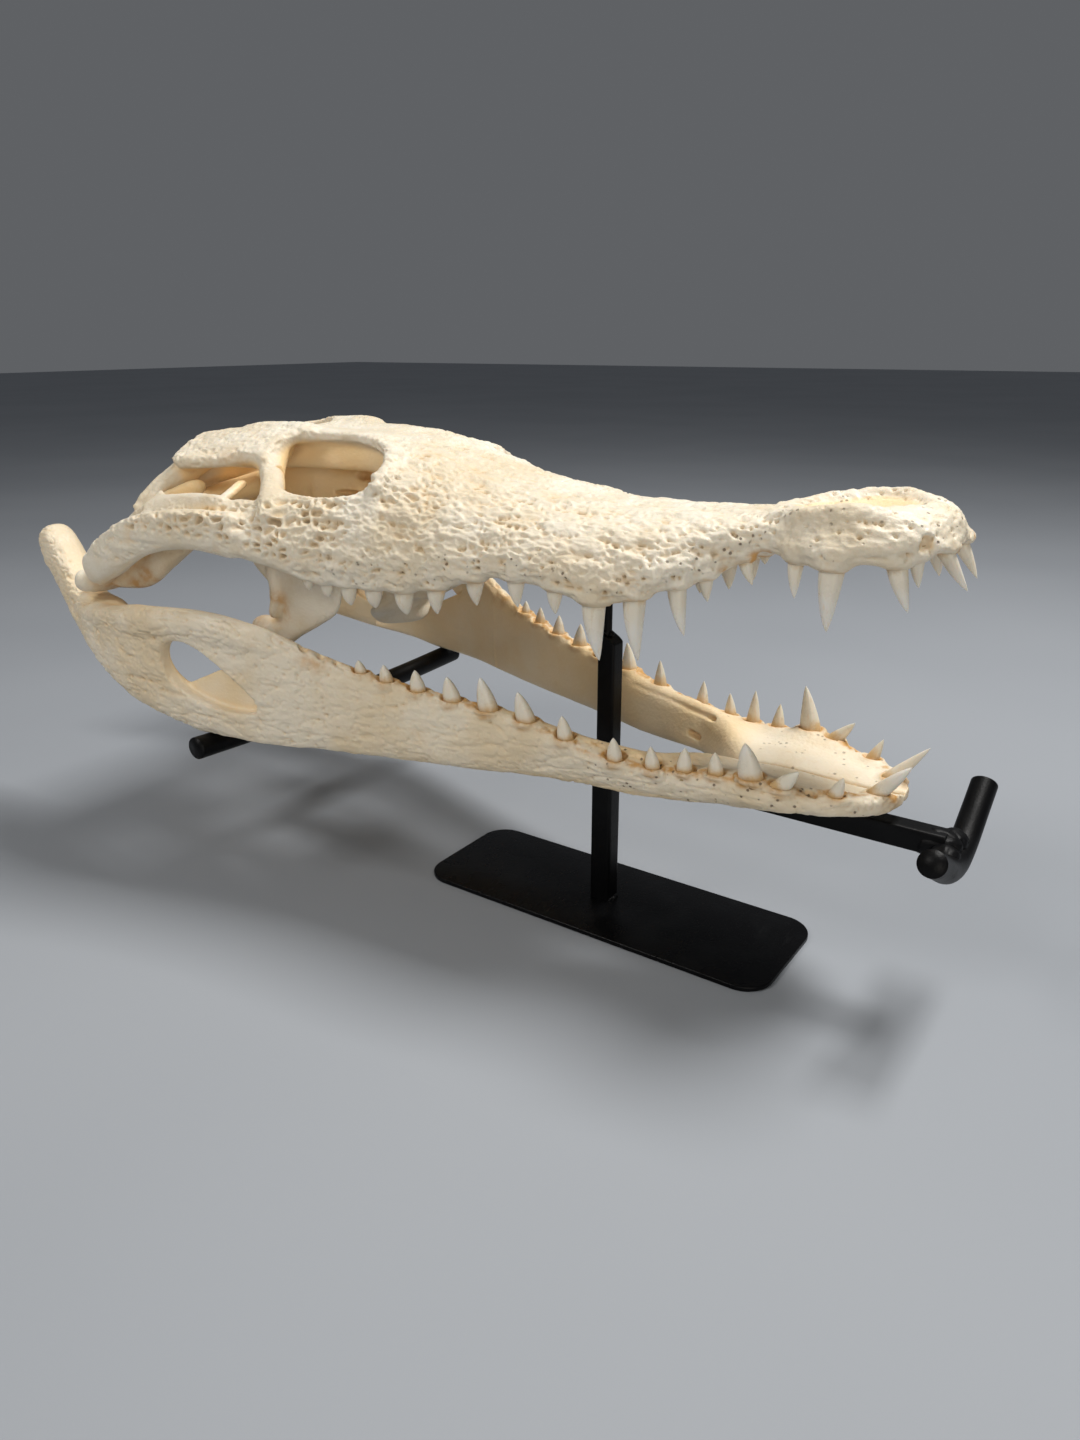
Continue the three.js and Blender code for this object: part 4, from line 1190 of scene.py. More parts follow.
    def join_struts(self, frame: Volume, side: Side) -> None:
        """Clears the place of the column behind the eye and joins the struts of one side."""
        s, tilt = side.value, 0.5
        frame.cut(prism((-118, s * 44, 147.5), (1, 0, 0), (0, math.cos(tilt), s * -math.sin(tilt)),
                        (13, 9), 9, 3.0), 1.5)
        for strut in self.struts:
            frame.join(strut.skin(side), strut.blend)

    def open_nostril(self, frame: Volume) -> None:
        """Raises the nostril's edge, notches the snout beside it and cuts the basin."""
        for side in Side:
            s = side.value
            edge = [(x, s * y, z + self.rim_tilt * s, across, tall) for x, y, z, across, tall in self.rim]
            frame.join(bar(edge, ends=0.25), 4.0)
            frame.cut(bar([(100.5, s * 18, 134, 2.2, 2.6), (99.4, s * 16.6, 141, 2.0, 2.3),
                           (98.6, s * 15.6, 146, 1.2, 1.2)]), 1.2)
        frame.cut(ball((72, 0.4, 157.2), (25, 17.8, 10.8)), 0.8)
        frame.cut(ball((76, 0, 150), (12.5, 8.6, 7)), 2.0)

    def frame_volume(self, outer: Volume) -> Volume:
        """Snout and the open frame behind it, with windows, columns, arches and the wall between the eyes."""
        frame = outer.copy()
        frame.cut(self.chamber(), 2.0)
        for side in Side:
            self.cut_windows(frame, side)
        for side in Side:
            self.join_struts(frame, side)
        frame.join(bar([(-134, 0, 136, 8, 14), (-115, 0, 136, 6, 13.5), (-98, 0, 135.5, 5, 13),
                        (-84, 0, 135, 5, 13),
                        (-73, 0, 135, 7, 14)], power=3.2), 1.5)
        for side in Side:
            s = side.value
            frame.cut(ball((-105.5, s * 6, 145.6), (4.6, 4.2, 1.9)), 0.8)
            frame.cut(ball((-113, s * 6, 138.6), (7, 4, 1.4)), 0.8)
            frame.cut(prism((-149, s * 13, 158), (1, 0, 0), (0, 1, 0), (9.5, 5.5), 14, 2.0), 1.6)
        frame.join(bar([(-72, 0, 154, 9, 5), (-90, 0, 155, 8, 4.5), (-112, 0, 155, 8, 4.5),
                        (-126, 0, 154, 9, 5)],
                       power=3.0), 2.5)
        self.open_nostril(frame)
        return frame

    def braincase_skins(self) -> list[Skin]:
        """Box of the brain, the ball of the neck joint and the wings beside them."""
        made = [
            bar([(-120, 0, 150, 5, 8), (-134, 0, 146, 7.5, 12), (-150, 0, 141, 11, 14.5),
                 (-166, 0, 139.5, 14, 15),
                 (-174, 0, 140.5, 14, 12.5)], power=2.6, ends=0.06),
            bar([(-168, 0, 130.5, 6, 5), (-177, 0, 130.5, 5.6, 4.6), (-184, 0, 129.5, 5, 4.4)], ends=0.3),
        ]
        for side in Side:
            s = side.value
            made.append(bar([(-167, s * 8, 147, 4, 7), (-171, s * 20, 146.5, 3.2, 6.5),
                             (-176, s * 32, 141.5, 3, 6.5),
                             (-182, s * 44, 131.5, 2.8, 5.5)], ends=0.05))
        return made

    def quadrate_skins(self, side: Side) -> list[Skin]:
        """Plate from the braincase out to the jaw joint, and its condyle."""
        s = side.value
        return [
            bar([(-148, s * 13, 142, 9, 4.6), (-169, s * 29, 134, 9, 4), (-185, s * 45, 121, 9, 3.8),
                 (-197, s * 56, 108, 8.5, 4.2)], ends=0.03),
            bar([(-160, s * 43, 122, 3, 3), (-173, s * 45.5, 115, 3, 5), (-184, s * 48, 108.5, 3, 6),
                 (-199, s * 52, 105, 4, 4)], ends=0.05),
            bar([(-203, s * 46, 103.6, 3.8, 3.8), (-202, s * 57, 104.4, 4.6, 4.4),
                 (-199, s * 67, 106.5, 4, 4.2)],
                ends=0.2),
            bar([(-154, s * 38, 143, 2.6, 3), (-168, s * 45, 136, 2.8, 3.6), (-180, s * 53, 125, 3.2, 4.4),
                 (-190, s * 59, 113, 3.8, 5), (-196, s * 62, 106, 3.8, 4.6)], ends=0.08),
        ]

    def palate_skins(self) -> list[Skin]:
        """Palatine bar, pterygoids with their wings, and ectopterygoids."""
        made = [bar([(-60, 0, 124, 12, 4), (-80, 0, 122, 10, 3.4), (-105, 0, 119.5, 10, 3),
                     (-130, 0, 117.5, 19, 2.6),
                     (-150, 0, 118, 21, 2.6), (-163, 0, 122, 13, 3.4)], power=3.0)]
        for side in Side:
            s = side.value
            made.append(bar([(-136, s * 8, 117.5, 11, 2.4), (-128, s * 22, 109.5, 9.5, 1.9),
                             (-123, s * 32, 99.5, 8, 1.9),
                             (-127, s * 38, 91, 10, 2.6), (-132.5, s * 40, 83, 14, 3.2),
                             (-134, s * 41, 75.5, 9, 2.4)],
                            power=3.0))
            made.append(ball((-123, s * 41.5, 93.5), (7.5, 4.2, 5)))
            made.append(bar([(-116, s * 44, 118, 1.6, 1.6), (-114, s * 44.2, 108, 1.9, 1.7),
                             (-117, s * 44, 99, 1.6, 1.6)],
                            ends=0.2))
            stops = [(-78, -128, 43, 125, 3.2), (-82, -126, 42, 117, 2.4), (-84, -118, 41.6, 110, 2.1),
                     (-87, -114, 41.5, 104.5, 2), (-95.5, -117.5, 41, 99, 2), (-105, -123, 40.6, 94, 2.2),
                     (-113, -128, 40.3, 89, 2.4)]
            path = spline(np.array(stops, float), 30, places=4)
            angle = 2 * math.pi * np.arange(32) / 32
            a, b = superellipse(angle, 2.6)
            front, rear, y, z, thick = (path[:, k][:, None] for k in range(5))
            grid = np.stack([(front + rear) / 2 + a * (front - rear) / 2, s * (y + b * thick), z + 0 * a], -1)
            made.append(Skin.over(grid))
        return made

    def build(self) -> None:
        """Carves, parts and dresses the cranium."""
        outer = Volume(*self.room)
        outer.join(self.outer_skin())
        teeth = {side: self.tooth_list(side) for side in Side}
        every = teeth[Side.RIGHT] + teeth[Side.LEFT]
        frame = self.frame_volume(outer)
        for tooth in every:
            frame.join(tooth.collar(2.3), 1.8)
        groups = {"frame": frame}
        for name, skins in (("braincase", self.braincase_skins()),
                            ("quadrate_right", self.quadrate_skins(Side.RIGHT)),
                            ("quadrate_left", self.quadrate_skins(Side.LEFT)),
                            ("palate", self.palate_skins())):
            volume = Volume(*self.room)
            for skin in skins:
                volume.join(skin, 2.5)
            groups[name] = volume
        groups["braincase"].cut(ball((-178, 0, 140.2), (12, 4.6, 3.7)), 1.2)
        whole = frame.copy()
        for name, volume in groups.items():
            if name != "frame":
                whole.values = soft_min(whole.values, volume.values, 2.5)
        carving = CraniumCarving(whole, outer, every, self)
        x, y, z = whole.axes()
        outwards, downwards = np.abs(y) - self.parting_y(x), self.parting_z(x) - z
        lower = (outwards * 0.88 + downwards * 0.47).astype(np.float32)
        others = {name: np.minimum.reduce([v.values for n,
                                           v in groups.items() if n != name]) for name in groups}
        claim = {name: 0.5 * (groups[name].values - others[name]) for name in groups}
        behind = x - self.snout_rear
        roof = np.maximum(np.maximum(behind, lower), claim["frame"])
        suture = x - self.frontal_rear - 1.2 * np.sin(y / 2.4)
        regions = {
            "premaxilla": np.maximum(self.premaxilla_rear - x, claim["frame"]),
            "frontal": np.maximum(roof, -suture).astype(np.float32),
            "skull_table": np.maximum(roof, suture).astype(np.float32),
        }
        for side in Side:
            s = side.value
            snout = np.maximum(x - self.premaxilla_rear, self.snout_rear - x)
            regions[f"maxilla_{side.label}"] = np.maximum(np.maximum(snout, -s * y), claim["frame"])
            regions[f"jugal_{side.label}"] = np.maximum(np.maximum(np.maximum(behind, -lower), -s * y),
                                                        claim["frame"])
        for name in ("braincase", "palate", "quadrate_right", "quadrate_left"):
            regions[name] = claim[name]
        finish = BoneFinish().material()
        for name, outside in regions.items():
            node = "skull_roof" if name in ("frontal", "skull_table") else name
            carving.part(name, outside).add(finish, "bone", (node,))
        enamel = ToothFinish().material()
        for side in Side:
            front = [t for t in teeth[side] if t.root[0] > self.premaxilla_rear]
            rear = [t for t in teeth[side] if t.root[0] <= self.premaxilla_rear]
            tooth_piece(f"teeth_premaxilla_{side.label}", front).add(enamel, "bone")
            tooth_piece(f"teeth_maxilla_{side.label}", rear).add(enamel, "bone")


class CraniumCarving(Carving):
    """The cranium's relief: comb on the cheeks and table, streaks and pits on the snout."""

    stains = (
        (-190, 50, 104, 17, 0.8), (-178, 48, 112, 13, 0.7), (-115, 43, 104, 9, 0.75), (-125, 41, 95, 8, 0.5),
        (-138, 38, 145, 15, 0.45), (-72, 26, 150, 10, 0.6), (-105.5, 6, 145.6, 6, 0.9),
        (-113, 6, 138.6, 7, 0.8),
        (100, 9, 141, 6, 0.6),
    )

    def __init__(self, solid: Volume, outer: Volume, teeth: list[Tooth], shape: Cranium) -> None:
        super().__init__(solid, outer, teeth)
        self.shape = shape

    def depth(self, p: np.ndarray, n: np.ndarray, skin: np.ndarray) -> np.ndarray:
        """Depth pressed in; see Relief. Only the true outside above the tooth line takes it."""
        x, y, z = p.T
        above = z - self.shape.tooth_line(x)
        arch = 3.0 * smoothstep(-140, -160, x)
        out = smoothstep(-2.4, -0.8, skin + arch) * smoothstep(-1.0, 2.5, above + 3 * arch)
        out *= smoothstep(-0.75, -0.35, n[:, 2])
        outward = smoothstep(0.1, 0.5, n[:, 1] * np.sign(y))
        side = smoothstep(1.5, -2.5, z - self.shape.shoulder_z(x)) * outward
        cheek = smoothstep(-64, -94, x) * smoothstep(-168, -146, x) * side
        table = smoothstep(-108, -120, x) * smoothstep(146, 150, z)
        snout = np.maximum(smoothstep(-108, -76, x), 0.75 * smoothstep(-140, -158, x) * side)
        margin = smoothstep(24, 6, above)
        r = self.relief
        ripples = r.ripples(p)
        tip = smoothstep(48, 66, x)
        pressed = r.comb(p) * (1.75 * cheek * smoothstep(1, 7, above) + 0.6 * table)
        pressed += r.worms(p) * 0.95 * snout * (1 - 0.25 * smoothstep(-10, 40, x)) * (1 - 0.5 * tip)
        pressed += r.pits(p) * (0.3 + 0.7 * margin) * smoothstep(-150, -110, x) * (1 - cheek)
        pressed += 0.5 * ripples * (snout * (1 - 0.3 * tip) + 0.25 + 0.4 * cheek)
        crust = self.row(p) * np.maximum(waves(p / 1.7, 63, 2), -0.3)
        return pressed * out + 0.06 * ripples - 0.5 * crust

    def inside(self, p: np.ndarray, skin: np.ndarray) -> np.ndarray:
        """Well inside the outside, and the nostril's basin; both take the golden stain, lightened as painted
        bounce light.
        """
        basin = np.hypot((p[:, 0] - 73.0) / 20.5, p[:, 1] / 16.0)
        return np.maximum(super().inside(p, skin), 0.8 * smoothstep(1.0, 0.85, basin) * smoothstep(0.0,
                                                                                                   -0.6,
                                                                                                   skin))

    def pored(self, p: np.ndarray, n: np.ndarray, skin: np.ndarray) -> np.ndarray:
        """Rows of foramina above the teeth, and more of them at the tip."""
        x, _, z = p.T
        above = z - self.shape.tooth_line(x)
        out = smoothstep(-2.4, -0.8, skin) * smoothstep(0.5, 2.5, above)
        return out * np.maximum(smoothstep(13, 7, above) * smoothstep(-96, -60, x),
                                0.8 * smoothstep(52, 66, x))


@dataclass
class Mandible:
    """Both sides of the lower jaw."""

    outer: Knots = Knots((98, 4), (96, 9), (91, 15), (84, 20), (74, 24), (62, 27.5), (54, 27), (42, 28.5),
                         (30, 31.5), (18, 34), (0, 35.5), (-14, 37.5), (-40, 43.5), (-62, 49.5), (-85, 57),
                         (-106, 64), (-128, 68.5), (-150, 70.5), (-176, 70), (-198, 67), (-215, 62),
                         (-247, 55.5))
    thickness: Knots = Knots((98, 4), (60, 14), (30, 12), (0, 10.5), (-40, 9), (-85, 8), (-110, 7),
                             (-150, 7.5),
                             (-176, 12), (-198, 19), (-214, 15.5), (-230, 15), (-247, 12))
    low: Knots = Knots((98, 66), (95, 64.4), (88, 63.6), (78, 63), (64, 61.6), (50, 59.4), (38, 58),
                       (25, 58.2),
                       (-130, 58.4), (-150, 60.5), (-172, 63), (-188, 67), (-204, 74.5), (-219, 84.5),
                       (-233, 97), (-247, 111))
    lean: Knots = Knots((98, 0), (60, 2.5), (40, 4.5), (18, 5.5), (0, 4.5), (-25, 1), (-50, 0), (-243, 0))
    high: Knots = Knots((98, 69.8), (90, 70.8), (83, 71.2), (69, 72.6), (60, 74), (49, 72.4), (39.5, 71.7),
                        (30, 71.2),
                        (18, 71.8), (0, 75.5), (-14, 79), (-40, 82.5), (-65, 87), (-85, 93), (-107, 101.5),
                        (-130, 104), (-165, 101.5), (-186, 98), (-204, 98.5), (-214, 102), (-226, 113.5),
                        (-237, 122), (-247, 120.5))
    floor: Knots = Knots((98, 69), (83, 69.4), (60, 70.8), (46, 69), (30, 67.4), (0, 69))
    shelf: Knots = Knots((56, 0), (50, 0.4), (42, 1.2), (35, 1.7), (26, 2.3), (18, 2.8), (5, 1.2), (-8, 0))
    symphysis_rear: float = 54.0
    open_rear: float = 22.0
    rear: float = -247.5
    rear_round: float = 9.0
    dentary_rear: float = -104.0
    wall_place: float = -132.0
    wall_edge: float = 80.0
    wall_slope: float = 0.46
    room: tuple[tuple[float, float, float], ...] = ((-252, -76, 52), (106, 76, 127))
    empty_sockets: tuple[tuple[float, ...], ...] = (
        (-78, 51.5, 91.8), (-84, 53, 93.4), (-90, 55, 95.2), (77, 19.5, 70.6),
    )
    # x, inset from the side, length on the right, length on the left, width, lean forwards
    teeth: tuple[tuple[float, ...], ...] = (
        (92, 7, 13.5, 15, 4.8, 0.9), (83, 3.8, 6.4, 7, 4.2, 0.4), (69, 3.2, 8, 8.5, 5, 0.9),
        (60, 3.9, 10.4, 14, 7.4, -0.22),
        (49, 3.9, 6.5, 7.5, 4.8, 0), (39.5, 3.9, 7, 10.5, 5, 0), (30, 3.9, 6.5, 7.5, 4.8, -0.1),
        (18, 4.1, 7, 8.5, 5.2, 0), (0.5, 4.3, 7, 9, 5.4, 0), (-13.5, 4.6, 9.5, 9.5, 6.6, -0.1),
        (-26.5, 4.6, 10.5, 10.5, 7, -0.1), (-39, 4.6, 7.8, 8, 6.4, 0), (-51, 4.6, 6.8, 7, 5.8, 0.05),
        (-62, 4.5, 5.5, 6, 5, 0), (-71, 4.6, 4, 4.5, 4.4, 0),
    )

    def ramus(self, side: Side) -> Skin:
        """One side: a squarish section between the outer face and the inner one, leaning in below."""
        x = np.concatenate([[98.0, 97.4, 96.4], np.arange(95, self.rear, -1.5), [self.rear]])[:, None]
        outer, lean, low, high = self.outer(x), self.lean(x), self.low(x), self.high(x)
        opening = smoothstep(-self.symphysis_rear, -self.open_rear, -x)
        inner = opening * (outer - self.thickness(x))
        dip = smoothstep(34, 54, x) * np.maximum(0, high - self.floor(x))
        angle = 2 * math.pi * (np.arange(56) + 0.5) / 56
        a, b = superellipse(angle, 2.8)
        size = np.sqrt(np.maximum(1 - np.clip((self.rear + self.rear_round - x) / self.rear_round, 0,
                                              1) ** 2, 0.02))
        a, b = a * size, b * size
        y = np.maximum((outer + inner) / 2 + a * (outer - inner) / 2 - lean * (1 - b) / 2, -0.5)
        trough = np.where(b > 0, dip * smoothstep(-0.55, 0.1, -a), 0)
        raised = np.where(b > 0, self.shelf(x) * b * smoothstep(0.5, -0.7, a), 0)
        z = (low + high) / 2 + b * (high - low) / 2 - trough + raised
        return Skin.over(np.stack([x + 0 * y, side.value * y, z], -1))

    def inner_wall(self, side: Side) -> Skin:
        """Thin sheet inside the window, whose top edge rises forwards."""
        x = np.linspace(-168, -90, 40)[:, None]
        low = self.low(x) + 1.5
        high = self.wall_edge + self.wall_slope * (x - self.wall_place)
        high = np.maximum(np.minimum(high, self.high(x) - 3), low + 2)
        a, b = superellipse(2 * math.pi * (np.arange(32) + 0.5) / 32, 3.0)
        y = self.outer(x) - self.thickness(x) + 1.2 + 1.1 * a
        z = (low + high) / 2 + b * (high - low) / 2
        return Skin.over(np.stack([x + 0 * y, side.value * y, z], -1))

    def tooth_list(self, side: Side) -> list[Tooth]:
        """The teeth of one side, front to back."""
        made = []
        rng = np.random.default_rng(23 + side.value)
        for x, inset, right, left, width, lean in self.teeth:
            length = right if side is Side.RIGHT else left
            y = float(self.outer(x)) - inset
            z = float(self.high(x)) - 0.5
            sway = rng.uniform(-0.05, 0.05, 2)
            if side is Side.RIGHT:
                slant, slim, shape = lean - 0.16 * (x < 10), 0.95, (1.7, 12.0)
            else:
                slant, slim, shape = lean, 0.88, (1.2, 19.0)
            made.append(Tooth((x, side.value * y, z), (slant + sway[0], side.value * (0.12 + sway[1]), 1.0),
                              length, slim * width, (-0.02, -side.value * 0.06, 0.0), *shape))
        return made

    def build(self) -> None:
        """Carves, parts and dresses the lower jaw."""
        outer = Volume(*self.room)
        for side in Side:
            outer.join(self.ramus(side))
        jaw = outer.copy()
        for side in Side:
            s = side.value
            jaw.cut(prism((-128, s * 66, 79.5), (math.cos(0.36), 0, -math.sin(0.36)),
                          (math.sin(0.36), 0, math.cos(0.36)),
                          (22, 8.8), 20, 2.2, 0.35), 1.6)
            jaw.cut(ball((-150, s * 60, 88), (36, 5.2, 14)), 2.0)
            jaw.cut(bar([(-203, s * 46, 105.2, 5.2, 5.2), (-203, s * 58, 105.2, 5.4, 5.4),
                         (-203, s * 74, 107, 5.2, 5.2)],
                        ends=0.0), 1.5)
            jaw.join(self.inner_wall(side), 1.5)
            jaw.cut(bar([(-12, s * 26.4, 75.8, 1, 0.9), (-3, s * 25, 74.4, 1, 0.9),
                         (6.4, s * 24, 73.4, 1, 0.8),
                         (17.6, s * 22.2, 71.6, 1, 0.8), (27, s * 20, 70.8, 0.9, 0.7),
                         (36.1, s * 17.6, 70.4, 0.8, 0.6)], ends=0.2), 0.8)
            jaw.cut(bar([(18, s * 19.6, 64.3, 2, 1), (24, s * 18.3, 63.2, 2, 0.9)], ends=0.3), 0.6)
            jaw.join(bar([(-207, s * 63.5, 93, 2.4, 3), (-184, s * 67.2, 94.5, 3, 3.4),
                          (-155, s * 68.6, 97, 3.2, 3.6),
                          (-125, s * 66, 99.2, 3.2, 3.4), (-102, s * 60.6, 95.5, 2.6, 3)], ends=0.25), 4.0)
        teeth = {side: self.tooth_list(side) for side in Side}
        every = teeth[Side.RIGHT] + teeth[Side.LEFT]
        for tooth in every:
            jaw.join(tooth.collar(1.9), 2.0)
        for tooth in every:
            jaw.cut(tooth.cup(1.9), 0.7)
        for x, y, z in self.empty_sockets:
            for side in Side:
                jaw.cut(ball((x, side.value * y, z), (1.9, 1.3, 2.2)), 0.8)
        carving = MandibleCarving(jaw, outer, every)
        x, y, _ = jaw.axes()
        finish = BoneFinish().material()
        enamel = ToothFinish().material()
        for side in Side:
            s = side.value
            front = np.maximum(self.dentary_rear - x, -s * y) + 0 * jaw.values
            rear = np.maximum(x - self.dentary_rear, -s * y) + 0 * jaw.values
            label = side.label
            carving.part(f"dentary_{label}", front).add(finish, "bone", (f"dentary_{label}",))
            carving.part(f"jaw_rear_{label}", rear).add(finish, "bone", (f"jaw_rear_{label}",))
            tooth_piece(f"teeth_dentary_{label}", teeth[side]).add(enamel, "bone")


class MandibleCarving(Carving):
    """The lower jaw's relief: faint grooves and pits outside and long ripples behind."""

    stain_reach = 2.1
    stains = ((-203, 58, 101, 11, 0.5), (-186, 60, 99, 9, 0.35), (-86, 53, 93, 9, 0.7), (97, 7, 68, 6, 0.5))

    def inside(self, p: np.ndarray, skin: np.ndarray) -> np.ndarray:
        """The faces turned to the mouth, behind the joined tips, take the golden stain lightened as painted
        bounce light, and faintly all of the outside.
        """
        x, y, _ = p.T
        mouth = smoothstep(3.0, 6.0, Mandible.outer(x) - np.abs(y)) * smoothstep(52, 36, x)
        return 0.2 + 0.5 * mouth * smoothstep(-235, -200, x)

    def depth(self, p: np.ndarray, n: np.ndarray, skin: np.ndarray) -> np.ndarray:
        """Depth pressed in; only the outer side takes streaks and pits."""
        x, y, _ = p.T
        out = smoothstep(-2.0, -0.7, skin) * smoothstep(-0.1, 0.45, n[:, 1] * np.sign(y))
        rear = smoothstep(-110, -170, x)
        r = self.relief
        grooves = np.abs(waves(p / np.array([26.0, 3.0, 3.0]), 77, 2))
        pressed = 0.45 * smoothstep(0.16, 0.0, grooves)
        pressed += r.worms(p) * (0.1 + 0.45 * rear) + r.pits(p, 15) * (0.55 - 0.2 * rear)
        seam = 0.9 * np.exp(-((y / 0.7) ** 2)) * smoothstep(44, 50, x) * smoothstep(0.2, 0.6, n[:, 2])
        crust = self.row(p) * np.maximum(waves(p / 1.7, 63, 2), -0.3)
        return pressed * out + 0.26 * r.ripples(p) * (0.25 + out) + seam - 0.45 * crust

    def pored(self, p: np.ndarray, n: np.ndarray, skin: np.ndarray) -> np.ndarray:
        """Foramina below the front teeth, and a few on the plate between them."""
        x, y, _ = p.T
        out = smoothstep(-0.3, 0.3, n[:, 1] * np.sign(y))
        return smoothstep(-10, 24, x) * np.maximum(out, 0.6 * smoothstep(46, 56, x))


# ---------------------------------------------------------------- stand


@dataclass
class Stand:
    """Base plate, post, rods and cradles, welded and painted."""

    length: float = 137.5
    width: float = 48.6
    thickness: float = 1.8
    corner: float = 10.0
    edge: float = 0.45
    post_x: float = -2.2
    post_top: float = 101.5
    square: float = 3.0
    sleeve_swell: float = 1.25
    bar_swell: float = 1.18
    rod_top: float = 127.5
    bar_z: float = 56.4
    front_x: float = 113.9
    rear_x: float = -131.6
    rod_radius: float = 3.3

    def plate(self) -> Skin:
        """Rounded rectangle carried up a small rounded edge."""
        count = 16
        quarter = np.linspace(0, math.pi / 2, count)
        angle = np.concatenate([quarter + k * math.pi / 2 for k in range(4)])
        cx = np.repeat(np.array([1, -1, -1, 1]) * (self.length / 2 - self.corner), count)
        cy = np.repeat(np.array([1, 1, -1, -1]) * (self.width / 2 - self.corner), count)
        bend = np.linspace(0, math.pi / 2, 6)
        inset = np.concatenate([self.edge * (1 - np.sin(bend)), self.edge * (1 - np.cos(bend))])
        z = np.concatenate([self.edge * (1 - np.cos(bend)), self.thickness - self.edge * (1 - np.sin(bend))])
        r = self.corner - inset[:, None]
        x = cx + r * np.cos(angle)
        y = cy + r * np.sin(angle)
        return Skin.over(np.stack([x, y, z[:, None] + 0 * x], -1))

    def square_bar(self, start: tuple[float, float, float], end: tuple[float, float, float],
                   slant: float = 0.0, swell: float = 1.0) -> Skin:
        """Square bar with rounded edges between two points; slant cuts the end back along x."""
        a, b = np.array(start, float), np.array(end, float)
        along = (b - a) / np.linalg.norm(b - a)
        side = np.array([0.0, 1.0, 0.0])
        up = np.cross(along, side)
        angle = 2 * math.pi * (np.arange(48) + 0.5) / 48
        u, v = superellipse(angle, 9.0)
        size = np.array([0.94, 0.985, 1.0, 1.0, 0.985, 0.94]) * self.square * swell
        span = np.linalg.norm(b - a)
        place = np.array([0.0, 0.12, 0.4, span - 0.4, span - 0.12, span])
        flat = size[:, None, None] * (u[:, None] * side + v[:, None] * up)
        rings = a + place[:, None, None] * along + flat
        rings[3:, :, 2] -= slant * np.maximum(rings[3:, :, 0] - a[0] + 0.6, 0)
        return Skin.over(rings)

    def rod(self, stops: list[tuple[float, ...]]) -> Skin:
        """Round rod along a smooth path with softly turned ends."""
        return bar(stops, power=2.0, ends=0.0045, around=32, steps=260)

    def weld(self, centre: tuple[float, float, float], size: tuple[float, float, float], seed: int) -> Skin:
        """Lump of weld: an ellipsoid swollen unevenly by smooth noise."""
        skin = ball(centre, size)
        out = (skin.points - centre) / np.array(size)
        skin.points = skin.points + out * (0.5 * waves(skin.points / 2.2, seed, 3))[:, None]
        return skin

    def build(self) -> None:
        """Builds and dresses every piece of the stand."""
        paint = PaintFinish().material()
        plate = PaintFinish(name="black plate", roughness=0.26, peel=0.35).material()
        half = self.square
        front = self.front_x
        v_rod = [(front, -28.5, 63.6, 4, 3.9), (front, -20, 58.9, 4, 3.9), (front, -9, 52.9, 4.1, 4),
                 (front, 0, 51.2, 4.2, 4.1), (front, 9, 53.3, 4.1, 4), (front, 20, 60.0, 4, 3.9),
                 (front, 28.5, 65.6, 4, 3.9)]
        rear = self.rear_x
        cross = [(rear, -73, 54.6, 4.3, 4.1), (rear, -40, 53.2, 4.1, 4), (rear, 0, 52.6, 3.8, 3.8),
                 (rear, 40, 53.2, 4.1, 4), (rear, 73, 54.6, 4.3, 4.1)]
        pieces = [
            ("stand_plate", [self.plate()], plate, "stand_base"),
            ("stand_upright", [
                self.square_bar((self.post_x, 0, self.thickness - 0.2), (self.post_x, 0, self.post_top),
                                0.9, 1.07),
                self.square_bar((self.post_x - 0.7, 0, self.thickness - 0.2),
                                (self.post_x - 0.7, 0, self.bar_z - 3.4),
                                swell=self.sleeve_swell),
            ], paint, "stand_post"),
            ("stand_thin_rod", [
                self.rod([(self.post_x - 1.2, 0, self.post_top - 4, 1.5, 1.5),
                          (self.post_x - 1.2, 0, self.rod_top - 8, 1.5, 1.5),
                          (self.post_x - 1.2, 0, self.rod_top, 1.5, 1.5)]),
            ], paint, "stand_upper_rod"),
            ("stand_front_bar", [
                self.square_bar((self.post_x + half - 0.3, 0, self.bar_z), (front - 2.5, 0, self.bar_z),
                                swell=self.bar_swell),
            ], paint, "stand_bar_front"),
            ("stand_rear_bar", [
                self.square_bar((self.post_x - half + 0.3, 0, self.bar_z), (rear + 2.5, 0, self.bar_z),
                                swell=self.bar_swell),
            ], paint, "stand_bar_rear"),
            ("stand_v_rod", [self.rod(v_rod)], paint, "stand_front_cradle"),
            ("stand_cross_rod", [self.rod(cross)], paint, "stand_rear_cradle"),
        ]
        for name, skins, finish, node in pieces:
            for k, skin in enumerate(skins):
                label = name if k == 0 else f"{name}_{k + 1}"
                Piece(label, skin.points, [skin.quads, skin.triangles]).add(finish, "steel", (node,))
        welds = [
            ("weld_post_foot_front", (self.post_x + half, 0, self.thickness), (1.6, 3.4, 1.3)),
            ("weld_post_foot_rear", (self.post_x - half, 0, self.thickness), (1.5, 3.2, 1.2)),
            ("weld_bar_front", (self.post_x + half, 0, self.bar_z - 2.6), (1.6, 3.0, 1.4)),
            ("weld_bar_rear", (self.post_x - half, 0, self.bar_z - 2.6), (1.6, 3.0, 1.4)),
            ("weld_v_rod", (front - 5.5, 0.5, self.bar_z - 0.9), (7.2, 4.8, 4.6)),
            ("weld_v_rod_side", (front - 2.2, -3.5, self.bar_z - 2.2), (4.6, 5.6, 3.6)),
            ("weld_v_rod_back", (front - 2.0, 4.5, self.bar_z - 0.6), (4.2, 5.0, 3.4)),
            ("weld_cross_rod", (rear + 2.6, 0.4, self.bar_z - 1.4), (2.6, 4.2, 2.6)),
            ("weld_thin_rod", (self.post_x - 1.2, 0, self.post_top - 0.6), (2.0, 2.0, 1.2)),
        ]
